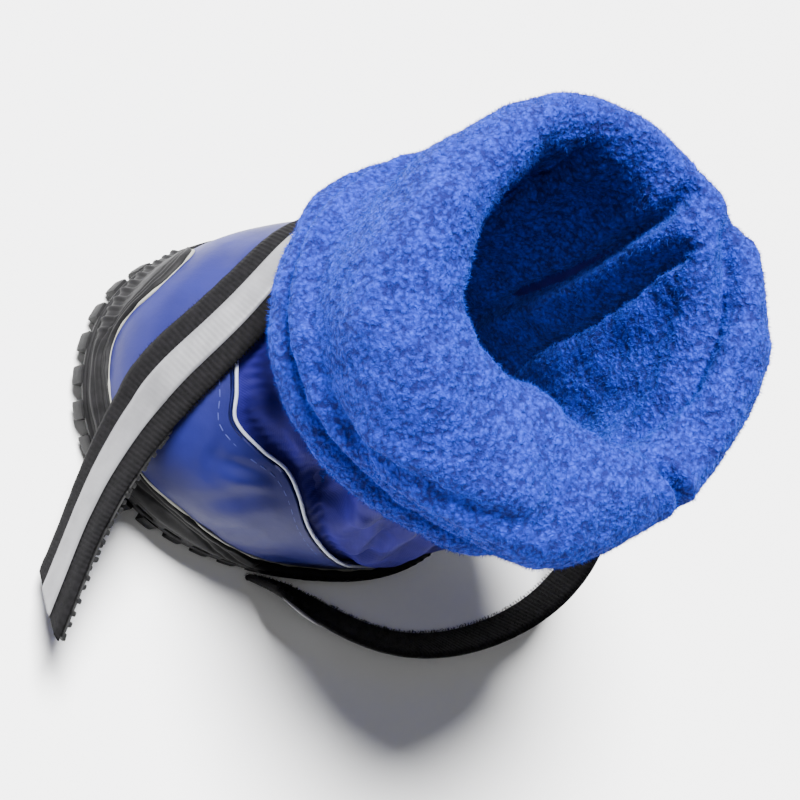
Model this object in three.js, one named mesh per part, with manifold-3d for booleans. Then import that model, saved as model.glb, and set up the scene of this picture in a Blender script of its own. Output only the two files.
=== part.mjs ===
// Winter dog shoe: moulded rubber sole, leather upper, nylon shaft, turned-down fleece cuff and an
// open hook-and-loop strap. Millimetres, +Z up, toe at -Y, heel at +Y, floor at z = 0.
import * as THREE from 'three';
import * as BufferGeometryUtils from 'three/addons/utils/BufferGeometryUtils.js';
import Module from 'manifold-3d';

const wasm = await Module();
wasm.setup();

// Lengths of the last, measured from its widest section.
const toeReach = 50.3;
const heelReach = 42.5;
const halfWidth = 34.3;
const ballOffset = 7; // the widest section lies this far behind the sole's centre
const shaftHeight = 93;
const vampHeight = 38.8;
const fit = 0.3; // clearance between pieces that touch

// Walls.
const leatherWall = 1.6;
const nylonWall = 1;
const insoleWall = 2;
const fleeceWall = 3;

// Sole.
const lugDepth = 2.4;
const soleBase = 2.6;
const rubberWall = 1.9;
const sideRimHeight = 8.6;
const toeRimHeight = 10.4;
const ledgeDepth = 0.5;
const ledgeHeight = 5.6;
const toeSpring = 2.2;
const heelSpring = 0.9;
const archRise = 0.9;
const archStart = 4;
const archEnd = 13;
const lugPitch = 7;
const lugWidth = 4;
const toeLugProud = 1.6;
const sideLugProud = 0.5;
const lugReach = 6; // how far a rim lug runs in under the sole
const lugClimb = 4.6; // how far a rim lug runs up the side
const barInset = 11;

// Cuff.
const cuffHeight = 99; // crest of the roll, mean
const hemHeight = 58;
const collarRadius = 40;
const hemRidge = 6;
const hemGroove = 1.7;
const rollDepth = 10; // height of the rounded top
const innerBevel = 4;
const secondRidge = 4.5; // height of the second ridge above the first groove
const flareStart = 6; // above the lining's end the wall starts to open
const flareEnd = 4; // below the roll it has opened

// Nylon shaft.
const tuckDepth = 5; // below the leather's edge
const seamClear = 1.8; // the nylon stays tucked this far above the leather's edge
const stepHeight = 6.5; // above that edge the nylon is flush with the last's skin
// Heights where shaft and cuff share a ring, as shares of shaftHeight.
const sharedRings = [0.495, 0.625, 0.755, 0.88, 1];

// Piping, strap, tape and hook patch.
const pipingDiameter = 0.9;
const pipingSink = 0.4; // its centre lies this deep below the last's skin
const strapWidth = 15;
const strapThickness = 1.5;
const tapeWidth = 6;
const tapeThickness = 0.4;
const tapeStart = 0.02; // shares of the strap's length
const tapeEnd = 0.985;
const hookThickness = 1;
const hookStart = 0.86;
const hookLift = 0.06; // share of the strap over which it rises to make room for the hooks
const tailSlant = -0.73; // the free end is cut off at a slant
const strapGap = 0.7; // the strap passes over the raised piping
const rimFade = 4; // height over which the strap clears the rubber rim

// Mesh fineness.
const columns = 48;
const strapSteps = 52;
const cordSides = 5;
const strapFacets = 4;

// Sections of the last. height is a share of shaftHeight, toe of toeReach, heel of heelReach,
// side and lean of halfWidth. The powers shape the front and back half of each outline.
const sections = [
  { height: 0.00, toe: 0.985, heel: 0.965, side: 0.985, frontPower: 2.10, backPower: 2.60, lean: 0.000 },
  { height: 0.08, toe: 1.000, heel: 0.985, side: 1.000, frontPower: 2.10, backPower: 2.60, lean: 0.000 },
  { height: 0.19, toe: 0.995, heel: 0.990, side: 1.042, frontPower: 2.10, backPower: 2.50, lean: -0.034 },
  { height: 0.27, toe: 0.930, heel: 0.975, side: 1.034, frontPower: 2.10, backPower: 2.40, lean: -0.050 },
  { height: 0.33, toe: 0.820, heel: 0.955, side: 1.000, frontPower: 2.10, backPower: 2.30, lean: -0.062 },
  { height: 0.40, toe: 0.655, heel: 0.930, side: 0.952, frontPower: 2.05, backPower: 2.20, lean: -0.072 },
  { height: 0.46, toe: 0.545, heel: 0.900, side: 0.920, frontPower: 2.00, backPower: 2.15, lean: -0.078 },
  { height: 0.56, toe: 0.490, heel: 0.865, side: 0.905, frontPower: 2.00, backPower: 2.10, lean: -0.093 },
  { height: 0.70, toe: 0.505, heel: 0.850, side: 0.910, frontPower: 2.00, backPower: 2.00, lean: -0.108 },
  { height: 1.00, toe: 0.530, heel: 0.850, side: 0.910, frontPower: 2.00, backPower: 2.00, lean: -0.122 },
];

// Top edge of the leather, by degrees from the toe, as shares of vampHeight. Both sides alike.
const leatherEdge = [
  { fromToe: 0, height: 0.93 },
  { fromToe: 12, height: 0.925 },
  { fromToe: 21, height: 0.905 },
  { fromToe: 33, height: 0.95 },
  { fromToe: 44, height: 1.0 },
  { fromToe: 54, height: 0.97 },
  { fromToe: 65, height: 0.865 },
  { fromToe: 82, height: 0.67 },
  { fromToe: 96, height: 0.48 },
  { fromToe: 107, height: 0.36 },
  { fromToe: 122, height: 0.33 },
  { fromToe: 145, height: 0.40 },
  { fromToe: 180, height: 0.47 },
];

// The slack collar, by plan angle. inner, outer, waist and hem are shares of collarRadius, crest of
// cuffHeight, drop of hemHeight. The front right wall flops in, the back stands high.
const collar = [
  { angle: -180, inner: 0.82, outer: 1.13, crest: 1.010, waist: 0.97, hem: 1.00, drop: 0.98 },
  { angle: -150, inner: 0.63, outer: 0.98, crest: 0.995, waist: 0.92, hem: 1.01, drop: 0.97 },
  { angle: -120, inner: 0.50, outer: 0.95, crest: 0.985, waist: 0.93, hem: 1.03, drop: 0.98 },
  { angle: -90, inner: 0.43, outer: 0.95, crest: 0.980, waist: 0.94, hem: 1.01, drop: 1.00 },
  { angle: -60, inner: 0.34, outer: 0.93, crest: 0.975, waist: 0.92, hem: 0.95, drop: 1.03 },
  { angle: -30, inner: 0.26, outer: 0.95, crest: 0.975, waist: 0.92, hem: 0.91, drop: 1.07 },
  { angle: 0, inner: 0.27, outer: 1.02, crest: 0.985, waist: 0.98, hem: 0.93, drop: 1.07 },
  { angle: 28, inner: 0.44, outer: 1.05, crest: 0.990, waist: 1.02, hem: 1.00, drop: 1.05 },
  { angle: 52, inner: 0.72, outer: 1.10, crest: 0.985, waist: 1.05, hem: 1.05, drop: 1.02 },
  { angle: 78, inner: 0.78, outer: 1.17, crest: 1.030, waist: 1.10, hem: 1.09, drop: 1.01 },
  { angle: 105, inner: 0.80, outer: 1.20, crest: 1.045, waist: 1.12, hem: 1.10, drop: 1.00 },
  { angle: 135, inner: 0.83, outer: 1.19, crest: 1.040, waist: 1.08, hem: 1.06, drop: 0.99 },
  { angle: 160, inner: 0.85, outer: 1.17, crest: 1.025, waist: 1.02, hem: 1.02, drop: 0.98 },
  { angle: 180, inner: 0.82, outer: 1.13, crest: 1.010, waist: 0.97, hem: 1.00, drop: 0.98 },
];

// Strap stations where it hangs free: x as a share of halfWidth, y of toeReach in front of the
// widest section and heelReach behind it, z of vampHeight. lean tips the upper edge outwards.
const strapLoop = [
  { x: 1.130, y: -0.205, z: 0.245, lean: 14 },
  { x: 1.185, y: -0.060, z: 0.235, lean: 28 },
  { x: 1.337, y: 0.221, z: 0.215, lean: 34 },
  { x: 1.450, y: 0.560, z: 0.200, lean: 25 },
  { x: 1.435, y: 0.860, z: 0.205, lean: 17 },
  { x: 1.335, y: 1.140, z: 0.230, lean: 12 },
  { x: 1.175, y: 1.390, z: 0.295, lean: 4 },
  { x: 0.965, y: 1.550, z: 0.400, lean: -5 },
  { x: 0.640, y: 1.630, z: 0.540, lean: -8 },
  { x: 0.150, y: 1.560, z: 0.650, lean: -4 },
  { x: -0.420, y: 1.280, z: 0.730, lean: -2 },
  { x: -0.860, y: 0.860, z: 0.800, lean: 0 },
];
// Stations on the boot: plan angle and height as a share of vampHeight.
const strapOnBoot = [
  { angle: 168, height: 0.880 },
  { angle: -170, height: 0.940 },
  { angle: -145, height: 0.975 },
  { angle: -122, height: 0.985 },
  { angle: -107, height: 0.955 },
  { angle: -96, height: 0.860 },
  { angle: -87, height: 0.750 },
  { angle: -80, height: 0.640 },
];
const strapTail = [
  { x: 0.510, y: -1.020, z: 0.545, lean: -28 },
  { x: 0.716, y: -1.058, z: 0.445, lean: -12 },
  { x: 0.950, y: -1.080, z: 0.355, lean: -11 },
  { x: 1.373, y: -1.141, z: 0.245, lean: -13 },
];

const rad = THREE.MathUtils.degToRad;
const smooth = THREE.MathUtils.smoothstep;
const mix = THREE.MathUtils.lerp;

// Cubic through the rows of a table: value of one column where another column equals at.
function readTable(rows, key, column, at) {
  const last = rows.length - 1;
  const x = THREE.MathUtils.clamp(at, rows[0][key], rows[last][key]);
  let i = 0;
  while (i < last - 1 && x > rows[i + 1][key]) i += 1;
  const step = rows[i + 1][key] - rows[i][key];
  const slope = (k) => {
    const a = rows[Math.max(k - 1, 0)];
    const b = rows[Math.min(k + 1, last)];
    return (b[column] - a[column]) / (b[key] - a[key]);
  };
  const t = (x - rows[i][key]) / step;
  const rise = rows[i + 1][column] - rows[i][column];
  const bendIn = slope(i) * step - rise;
  const bendOut = rise - slope(i + 1) * step;
  return rows[i][column] + t * rise + t * (1 - t) * ((1 - t) * bendIn + t * bendOut);
}

// Like readTable, for a table that closes on itself after a full turn.
function readRound(column, angle) {
  const turn = ((THREE.MathUtils.radToDeg(angle) + 540) % 360) - 180;
  const inner = collar.slice(0, -1);
  const before = { ...inner[inner.length - 1], angle: inner[inner.length - 1].angle - 360 };
  const after = { ...inner[1], angle: inner[1].angle + 360 };
  return readTable([before, ...collar, after], 'angle', column, turn);
}

function collarLength(column, angle) {
  return collarRadius * readRound(column, angle);
}

// Centre of the section at height z.
function sectionCentre(z) {
  const lean = readTable(sections, 'height', 'lean', z / shaftHeight);
  return new THREE.Vector2(halfWidth * lean, ballOffset);
}

// Distance from the section's centre to the last's skin, in plan direction angle at height z.
function sectionRadius(angle, z) {
  const share = z / shaftHeight;
  const front = Math.sin(angle) < 0;
  const reach = front
    ? toeReach * readTable(sections, 'height', 'toe', share)
    : heelReach * readTable(sections, 'height', 'heel', share);
  const power = readTable(sections, 'height', front ? 'frontPower' : 'backPower', share);
  const across = Math.abs(Math.cos(angle)) / (halfWidth * readTable(sections, 'height', 'side', share));
  const along = Math.abs(Math.sin(angle)) / reach;
  const plain = (across ** power + along ** power) ** (-1 / power);
  const middle = mix(collarLength('inner', angle), collarLength('outer', angle), 0.5);
  return mix(plain, middle, smooth(share, 0.58, 0.98));
}

function lastPoint(angle, z) {
  const centre = sectionCentre(z);
  const radius = sectionRadius(angle, z);
  return new THREE.Vector3(centre.x + radius * Math.cos(angle), centre.y + radius * Math.sin(angle), z);
}

function lastNormal(angle, z) {
  const step = 0.01;
  const around = lastPoint(angle + step, z).sub(lastPoint(angle - step, z));
  const up = lastPoint(angle, z + step).sub(lastPoint(angle, z - step));
  return around.cross(up).normalize();
}

// A point below the skin of the last by depth, or above it where depth is negative.
function skin(angle, z, depth) {
  return lastPoint(angle, z).addScaledVector(lastNormal(angle, z), -depth);
}

function degreesFromToe(angle) {
  return THREE.MathUtils.radToDeg(Math.acos(THREE.MathUtils.clamp(-Math.sin(angle), -1, 1)));
}

function leatherTop(angle) {
  return vampHeight * readTable(leatherEdge, 'fromToe', 'height', degreesFromToe(angle));
}

function buildMesh(name, geometry, colour, roughness) {
  const material = new THREE.MeshStandardMaterial({ color: colour, roughness, metalness: 0 });
  const mesh = new THREE.Mesh(geometry, material);
  mesh.name = name;
  return mesh;
}

function fromTriangles(points, triangles) {
  const geometry = new THREE.BufferGeometry();
  const positions = points.flatMap((p) => [p.x, p.y, p.z]);
  geometry.setAttribute('position', new THREE.Float32BufferAttribute(positions, 3));
  geometry.setIndex(triangles);
  return geometry;
}

// Joins loops of points, each with as many points as the next, and splits each quad along its
// shorter diagonal, so that two faces that run side by side are split alike.
function loftLoops(loops, closedRound) {
  const count = loops[0].length;
  const points = loops.flat();
  const triangles = [];
  const spans = closedRound ? loops.length : loops.length - 1;
  for (let i = 0; i < spans; i += 1) {
    const here = i * count;
    const next = ((i + 1) % loops.length) * count;
    for (let j = 0; j < count; j += 1) {
      const k = (j + 1) % count;
      const rising = points[here + j].distanceTo(points[next + k]);
      const falling = points[here + k].distanceTo(points[next + j]);
      if (rising < falling) {
        triangles.push(here + j, next + j, next + k, here + j, next + k, here + k);
      } else {
        triangles.push(here + j, next + j, here + k, next + j, next + k, here + k);
      }
    }
  }
  if (!closedRound) {
    const end = (loops.length - 1) * count;
    for (let j = 1; j < count - 1; j += 1) {
      triangles.push(0, j, j + 1);
      triangles.push(end, end + j + 1, end + j);
    }
  }
  return fromTriangles(points, triangles);
}

// A ring around the shoe: one closed profile for each plan angle, running up the inside face.
function ringSolid(profileAt) {
  const loops = [];
  for (let i = 0; i < columns; i += 1) loops.push(profileAt((i / columns) * 2 * Math.PI));
  return loftLoops(loops, true);
}

// A plate: profiles that all start at the lower centre point and end at the upper one.
function plateSolid(profileAt, lower, upper) {
  const loops = [];
  for (let i = 0; i < columns; i += 1) loops.push(profileAt((i / columns) * 2 * Math.PI));
  const count = loops[0].length;
  const points = [...loops.flat(), lower, upper];
  const low = columns * count;
  const triangles = [];
  for (let i = 0; i < columns; i += 1) {
    const here = i * count;
    const next = ((i + 1) % columns) * count;
    triangles.push(low, next, here);
    for (let j = 0; j < count - 1; j += 1) {
      triangles.push(here + j, next + j, next + j + 1, here + j, next + j + 1, here + j + 1);
    }
    triangles.push(low + 1, here + count - 1, next + count - 1);
  }
  return fromTriangles(points, triangles);
}

function toManifold(geometry) {
  const bare = geometry.clone();
  bare.deleteAttribute('normal');
  bare.deleteAttribute('uv');
  const merged = BufferGeometryUtils.mergeVertices(bare, 1e-5);
  return new wasm.Manifold(new wasm.Mesh({
    numProp: 3,
    vertProperties: new Float32Array(merged.attributes.position.array),
    triVerts: new Uint32Array(merged.index.array),
  }));
}

function fromManifold(solid) {
  const mesh = solid.getMesh();
  const geometry = new THREE.BufferGeometry();
  geometry.setAttribute('position', new THREE.BufferAttribute(new Float32Array(mesh.vertProperties), 3));
  geometry.setIndex(Array.from(mesh.triVerts));
  return geometry;
}

// How far the tread rises off the floor at y: toe spring, heel spring and the arch.
function treadRise(y) {
  const toeStart = ballOffset - 0.68 * toeReach;
  const heelStart = ballOffset + 0.7 * heelReach;
  const toe = Math.max(0, toeStart - y) / (0.36 * toeReach);
  const heel = Math.max(0, y - heelStart) / (0.36 * heelReach);
  const arch = smooth(y, archStart, archStart + 2) * (1 - smooth(y, archEnd - 2, archEnd));
  return toeSpring * toe * toe + heelSpring * heel * heel + archRise * arch;
}

function rimHeight(angle) {
  const fromToe = degreesFromToe(angle);
  const heelLift = 0.6 * smooth(fromToe, 140, 175);
  return mix(toeRimHeight, sideRimHeight, smooth(fromToe, 45, 75)) + heelLift;
}

const soleFloor = lugDepth + soleBase;
const wallFoot = soleFloor + fit;

// Rubber sole: a cup with a stepped side, cross bars under the foot and a lug at each rim pitch.
function outsole() {
  const outside = -(fit + rubberWall);
  const body = toManifold(plateSolid((angle) => {
    const top = rimHeight(angle);
    const under = [0.8].map((share) => {
      const edge = skin(angle, lugDepth, outside);
      const point = new THREE.Vector3(edge.x * share, mix(ballOffset, edge.y, share), 0);
      point.z = lugDepth + treadRise(point.y);
      return point;
    });
    const foot = skin(angle, lugDepth, outside + 0.8);
    foot.z = lugDepth + treadRise(foot.y);
    const toeLift = foot.z - lugDepth;
    const rail = (height, depth) => {
      const point = skin(angle, height, depth);
      point.z = height;
      return point;
    };
    return [
      ...under,
      foot,
      rail(lugDepth + toeLift + 0.8, outside),
      rail(ledgeHeight, outside),
      rail(ledgeHeight + 0.3, outside - ledgeDepth),
      rail(ledgeHeight + 1.3, outside - ledgeDepth),
      rail(ledgeHeight + 1.6, outside),
      rail(top - 0.6, outside + 0.1),
      rail(top, outside + 0.6),
      rail(top, -fit),
      rail(soleFloor, -fit),
    ];
  }, new THREE.Vector3(0, ballOffset, lugDepth + treadRise(ballOffset)),
  new THREE.Vector3(0, ballOffset, soleFloor)));
  const rail = (angle, height) => {
    const point = skin(angle, height, -fit);
    point.z = height;
    return point;
  };
  const cavity = toManifold(plateSolid(
    (angle) => [rail(angle, soleFloor), rail(angle, rimHeight(angle)), rail(angle, toeRimHeight + 2)],
    new THREE.Vector3(0, ballOffset, soleFloor),
    new THREE.Vector3(0, ballOffset, toeRimHeight + 2),
  ));
  const lugs = [...rimLugs(), ...crossBars()];
  const sole = lugs.reduce((solid, lug) => solid.add(toManifold(lug)), body);
  return fromManifold(sole.subtract(cavity));
}

// Rim lugs, spaced by walking round the sole's outline.
function rimLugs() {
  const fine = 720;
  const outline = [];
  for (let i = 0; i <= fine; i += 1) {
    const angle = -Math.PI / 2 + (i / fine) * 2 * Math.PI;
    outline.push({ angle, point: skin(angle, lugDepth, -(fit + rubberWall)) });
  }
  let length = 0;
  const runs = outline.map((entry, i) => {
    if (i > 0) length += entry.point.distanceTo(outline[i - 1].point);
    return length;
  });
  const count = Math.round(length / lugPitch);
  const lugs = [];
  for (let i = 0; i < count; i += 1) {
    const along = (i / count) * length;
    const { angle, point } = outline[runs.findIndex((run) => run >= along)];
    const normal = lastNormal(angle, lugDepth);
    const proud = mix(toeLugProud, sideLugProud, smooth(degreesFromToe(angle), 40, 80));
    const geometry = new THREE.BoxGeometry(lugReach + proud, lugWidth, lugClimb);
    const middle = point.clone().addScaledVector(normal, (proud - lugReach) / 2);
    const base = treadRise(point.y);
    const matrix = new THREE.Matrix4().makeRotationZ(Math.atan2(normal.y, normal.x));
    matrix.setPosition(middle.x, middle.y, base + lugClimb / 2);
    lugs.push(geometry.applyMatrix4(matrix));
  }
  return lugs;
}

// Half length of the cross bar at y, so that its ends stay clear of the rim lugs.
function barHalf(y) {
  const reach = y < ballOffset ? toeReach : heelReach;
  const share = Math.min(1, Math.abs(y - ballOffset) / reach);
  return halfWidth * Math.sqrt(1 - share * share) - barInset;
}

function crossBars() {
  const bars = [];
  const first = -Math.floor(toeReach * 0.68 / lugPitch) * lugPitch;
  for (let y = first; y < ballOffset + heelReach; y += lugPitch) {
    const half = barHalf(y);
    const inArch = y > archStart - lugWidth / 2 && y < archEnd + lugWidth / 2;
    if (half > lugPitch && !inArch) {
      const bar = new THREE.BoxGeometry(2 * half, lugWidth, lugDepth + 0.6);
      bars.push(bar.translate(0, y, (lugDepth + 0.6) / 2 + treadRise(y)));
    }
  }
  return bars;
}

function insole() {
  const edge = (angle, z) => {
    const point = skin(angle, wallFoot + insoleWall / 2, leatherWall + fit);
    point.z = z;
    return point;
  };
  const top = wallFoot + insoleWall;
  return plateSolid(
    (angle) => [edge(angle, wallFoot), edge(angle, top)],
    new THREE.Vector3(0, ballOffset, wallFoot),
    new THREE.Vector3(0, ballOffset, top),
  );
}

// Leather vamp and quarters, from the sole's floor to the piped edge.
function leatherUpper() {
  const rows = [0, 0.14, 0.3, 0.46, 0.62, 0.76, 0.89, 1];
  return ringSolid((angle) => {
    const wall = (depth) => rows.map((share) => {
      const point = skin(angle, mix(wallFoot, leatherTop(angle), share), depth);
      if (share === 0) point.z = wallFoot;
      return point;
    });
    return [...wall(0), ...wall(leatherWall).reverse()];
  });
}

// Depth of the nylon below the last's skin: tucked behind the leather, then out flush above it.
function nylonDepth(angle, z) {
  const seam = leatherTop(angle);
  const tuck = leatherWall + 1.5 * fit;
  return tuck * (1 - smooth(z, seam + seamClear, seam + stepHeight));
}

// Nylon shaft, from a tuck behind the piped edge to its top inside the cuff's fold.
function nylonShaft() {
  const flush = sharedRings.map((share) => share * shaftHeight);
  return ringSolid((angle) => {
    const seam = leatherTop(angle);
    const foot = Math.max(seam - tuckDepth, wallFoot + insoleWall + fit);
    const clear = seam + seamClear;
    const step = seam + stepHeight;
    const rows = [foot, clear, mix(clear, step, 0.5), step, mix(step, flush[0], 0.5), ...flush];
    const wall = (extra) => rows.map((z) => skin(angle, z, nylonDepth(angle, z) + extra));
    return [...wall(0), ...wall(nylonWall).reverse()];
  });
}

// Fleece cuff: inner wall, fat roll over the shaft's top, outer wall with a groove above the hem.
function fleeceCuff() {
  return ringSolid((angle) => {
    const at = (radius, z) => {
      const centre = sectionCentre(z);
      return new THREE.Vector3(centre.x + radius * Math.cos(angle), centre.y + radius * Math.sin(angle), z);
    };
    const inner = collarLength('inner', angle);
    const outer = collarLength('outer', angle);
    const waist = collarLength('waist', angle);
    const hem = collarLength('hem', angle);
    const crest = cuffHeight * readRound('crest', angle);
    const drop = hemHeight * readRound('drop', angle);
    const thick = outer - inner;
    const rings = sharedRings.map((share) => share * shaftHeight);
    const beside = (z, depth) => skin(angle, z, depth);
    const liningEnd = rings[0];
    const low = beside(liningEnd, nylonWall + fit + fleeceWall);
    const lowRadius = Math.hypot(low.x - sectionCentre(low.z).x, low.y - ballOffset);
    const ledge = crest - rollDepth;
    const innerAt = (share) => {
      const z = mix(liningEnd, ledge, share);
      return at(mix(lowRadius, inner, smooth(z, liningEnd + flareStart, ledge - flareEnd)), z);
    };
    const lid = (depth) => {
      const point = beside(shaftHeight, depth);
      point.z = shaftHeight + fit;
      return point;
    };
    const groove = drop + hemRidge;
    return [
      at(waist, mix(ledge, groove + secondRidge, 0.5)),
      at(outer, ledge + 1),
      at(outer - 0.1 * thick, ledge + 0.6 * rollDepth),
      at(outer - 0.26 * thick, ledge + 0.9 * rollDepth),
      at(outer - 0.46 * thick, crest),
      at(inner + innerBevel, ledge + 0.86 * rollDepth),
      at(inner + 0.3 * innerBevel, ledge + 0.55 * rollDepth),
      at(inner, ledge),
      innerAt(0.72),
      innerAt(0.45),
      innerAt(0.2),
      low,
      ...rings.slice(0, -1).map((z) => beside(z, nylonWall + fit)),
      lid(nylonWall + fit),
      lid(-fit),
      ...rings.slice(2, -1).reverse().map((z) => beside(z, -fit)),
      beside(drop + 1.5, -fit),
      at(hem - hemRidge * 0.5, drop),
      at(hem - 0.8, drop + 0.9),
      at(hem, drop + hemRidge * 0.5),
      at(hem - 0.6, groove),
      at(hem - hemGroove, groove + 2),
      at(hem - 0.5, groove + secondRidge),
    ];
  });
}

// Cord sewn into the leather's top edge, in the step between leather and nylon.
function piping() {
  const radius = pipingDiameter / 2;
  const edgePoint = (angle) => lastPoint(angle, leatherTop(angle));
  const loops = [];
  for (let i = 0; i < columns; i += 1) {
    const angle = (i / columns) * 2 * Math.PI;
    const normal = lastNormal(angle, leatherTop(angle));
    const along = edgePoint(angle + 0.02).sub(edgePoint(angle - 0.02)).normalize();
    const away = normal.clone().cross(along).normalize();
    const centre = edgePoint(angle)
      .addScaledVector(away, radius + fit)
      .addScaledVector(normal, -pipingSink);
    const loop = [];
    for (let j = 0; j < cordSides; j += 1) {
      const turn = (j / cordSides) * 2 * Math.PI;
      loop.push(centre.clone()
        .addScaledVector(normal, radius * Math.cos(turn))
        .addScaledVector(away, radius * Math.sin(turn)));
    }
    loops.push(loop);
  }
  return loftLoops(loops, true);
}

// Moves a point of the strap's inner face out until it clears leather, piping and rubber rim.
function clearOfBoot(point, lift) {
  const centre = sectionCentre(point.z);
  const angle = Math.atan2(point.y - centre.y, point.x - centre.x);
  const normal = lastNormal(angle, point.z);
  const rim = rimHeight(angle) + fit;
  const besideRim = 1 - smooth(point.z, rim, rim + rimFade);
  const clearance = strapGap + lift + besideRim * (rubberWall + ledgeDepth);
  const gap = point.clone().sub(lastPoint(angle, point.z)).dot(normal);
  return gap < clearance ? point.clone().addScaledVector(normal, clearance - gap) : point.clone();
}

// Stations of the strap's centre line, with the direction that its taped face looks in.
function strapStations() {
  const freeStation = (row, guide) => {
    const reach = row.y < 0 ? toeReach : heelReach;
    const point = new THREE.Vector3(row.x * halfWidth, ballOffset + row.y * reach, row.z * vampHeight);
    return { point, lean: rad(row.lean), guide };
  };
  const middle = strapGap + strapThickness / 2;
  const onBoot = strapOnBoot.map((row) => ({
    point: skin(rad(row.angle), row.height * vampHeight, -middle),
    face: lastNormal(rad(row.angle), row.height * vampHeight),
  }));
  const stations = [
    ...strapLoop.map((row) => freeStation(row)),
    ...onBoot,
    ...strapTail.map((row) => freeStation(row)),
  ];
  const up = new THREE.Vector3(0, 0, 1);
  stations.forEach((station, i) => {
    if (station.face) return;
    const before = stations[Math.max(i - 1, 0)].point;
    const after = stations[Math.min(i + 1, stations.length - 1)].point;
    const along = after.clone().sub(before).normalize();
    const outward = along.clone().cross(up).normalize();
    outward.multiplyScalar(Math.cos(station.lean));
    station.face = outward.addScaledVector(up, -Math.sin(station.lean));
  });
  return stations;
}

// Frames along the strap: centre, taped-face direction and direction across the webbing.
function strapFrames() {
  const stations = strapStations();
  const path = new THREE.CatmullRomCurve3(stations.map((station) => station.point), false, 'centripetal');
  const faces = new THREE.CatmullRomCurve3(stations.map((station) => station.face), false, 'centripetal');
  const frames = [];
  for (let i = 0; i <= strapSteps; i += 1) {
    const share = i / strapSteps;
    const t = path.getUtoTmapping(share);
    const along = path.getTangent(t);
    const face = faces.getPoint(t);
    face.addScaledVector(along, -face.dot(along)).normalize();
    const across = along.clone().cross(face).normalize();
    frames.push({ share, centre: path.getPoint(t), face, across, along });
  }
  return frames;
}

// Point on the strap's inner face, reach to the side of its centre line, inside its own facets.
function strapFace(frame, reach, cut) {
  const half = strapWidth / 2;
  const lift = smooth(frame.share, hookStart - hookLift, hookStart) * (fit + hookThickness);
  const spot = (index) => {
    const across = mix(-half, half, index / strapFacets);
    const point = frame.centre.clone()
      .addScaledVector(frame.across, across)
      .addScaledVector(frame.along, cut * across)
      .addScaledVector(frame.face, -strapThickness / 2);
    return clearOfBoot(point, lift);
  };
  const index = ((reach + half) / strapWidth) * strapFacets;
  const lower = Math.min(Math.floor(index), strapFacets - 1);
  return spot(lower).lerp(spot(lower + 1), index - lower);
}

// A flat band on the strap: its half width, and how far off the strap's inner face it lies.
function strapBand(frames, half, spots, inside, outside, slant) {
  const loops = frames.map((frame, i) => {
    const cut = i === frames.length - 1 ? slant : 0;
    const face = (spot) => strapFace(frame, spot * half, cut);
    const place = (spot, offset) => face(spot).addScaledVector(frame.face, offset);
    return [
      ...spots.map((spot) => place(spot, inside)),
      ...spots.slice().reverse().map((spot) => place(spot, outside)),
    ];
  });
  return loftLoops(loops, false);
}

const frames = strapFrames();
const wide = [-1, -0.5, 0, 0.5, 1];
const strap = strapBand(frames, strapWidth / 2, wide, 0, strapThickness, tailSlant);
const taped = frames.filter((frame) => frame.share >= tapeStart && frame.share <= tapeEnd);
const tapeBase = strapThickness + fit;
const tape = strapBand(taped, tapeWidth / 2, [-1, 0, 1], tapeBase, tapeBase + tapeThickness, 0);
const hooked = frames.filter((frame) => frame.share >= hookStart);
const hooks = strapBand(hooked, strapWidth / 2, wide, -fit - hookThickness, -fit, tailSlant);

const dogShoe = new THREE.Group();
dogShoe.add(
  buildMesh('outsole', outsole(), '#2E2E31', 0.75),
  buildMesh('insole', insole(), '#2B52B8', 0.95),
  buildMesh('upper', leatherUpper(), '#3A46A8', 0.38),
  buildMesh('shaft', nylonShaft(), '#3F3E94', 0.7),
  buildMesh('fleece_cuff', fleeceCuff(), '#3C6EE1', 0.95),
  buildMesh('piping', piping(), '#D8DCF0', 0.4),
  buildMesh('strap', strap, '#26242A', 0.85),
  buildMesh('reflective_tape', tape, '#BDBCC0', 0.45),
  buildMesh('hook_patch', hooks, '#1E1D21', 0.7),
);

export default dogShoe;
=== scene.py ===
import math

import bpy
import numpy as np
from mathutils import Matrix


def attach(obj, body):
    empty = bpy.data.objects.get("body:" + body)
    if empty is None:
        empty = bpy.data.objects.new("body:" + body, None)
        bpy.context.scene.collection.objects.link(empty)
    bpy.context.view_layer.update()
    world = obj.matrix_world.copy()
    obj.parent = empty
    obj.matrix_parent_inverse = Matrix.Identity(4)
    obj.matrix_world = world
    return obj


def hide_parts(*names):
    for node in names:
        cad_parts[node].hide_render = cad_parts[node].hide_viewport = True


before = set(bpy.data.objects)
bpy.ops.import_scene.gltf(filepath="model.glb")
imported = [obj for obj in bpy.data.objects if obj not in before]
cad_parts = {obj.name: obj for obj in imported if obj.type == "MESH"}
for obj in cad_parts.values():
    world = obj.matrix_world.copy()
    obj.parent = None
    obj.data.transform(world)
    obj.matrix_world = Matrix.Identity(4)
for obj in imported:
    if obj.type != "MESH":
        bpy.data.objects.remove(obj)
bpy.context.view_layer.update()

# Dog shoe, open strap. Everything is made in millimetres on the sizes of the last and turned into
# metres when a mesh is written. +X is the side with the strap's root, -Y the toe, +Z up.
rng = np.random.default_rng(7)

last = dict(toeReach=50.3, heelReach=42.5, halfWidth=34.3, ballOffset=7.0, shaftHeight=93.0, vampHeight=38.8,
            fit=0.3, leatherWall=1.6, nylonWall=1.0, insoleTop=7.3, soleFloor=5.0)


def table(names, rows):
    return dict(zip(names.split(), np.array(rows, float).T))


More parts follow.
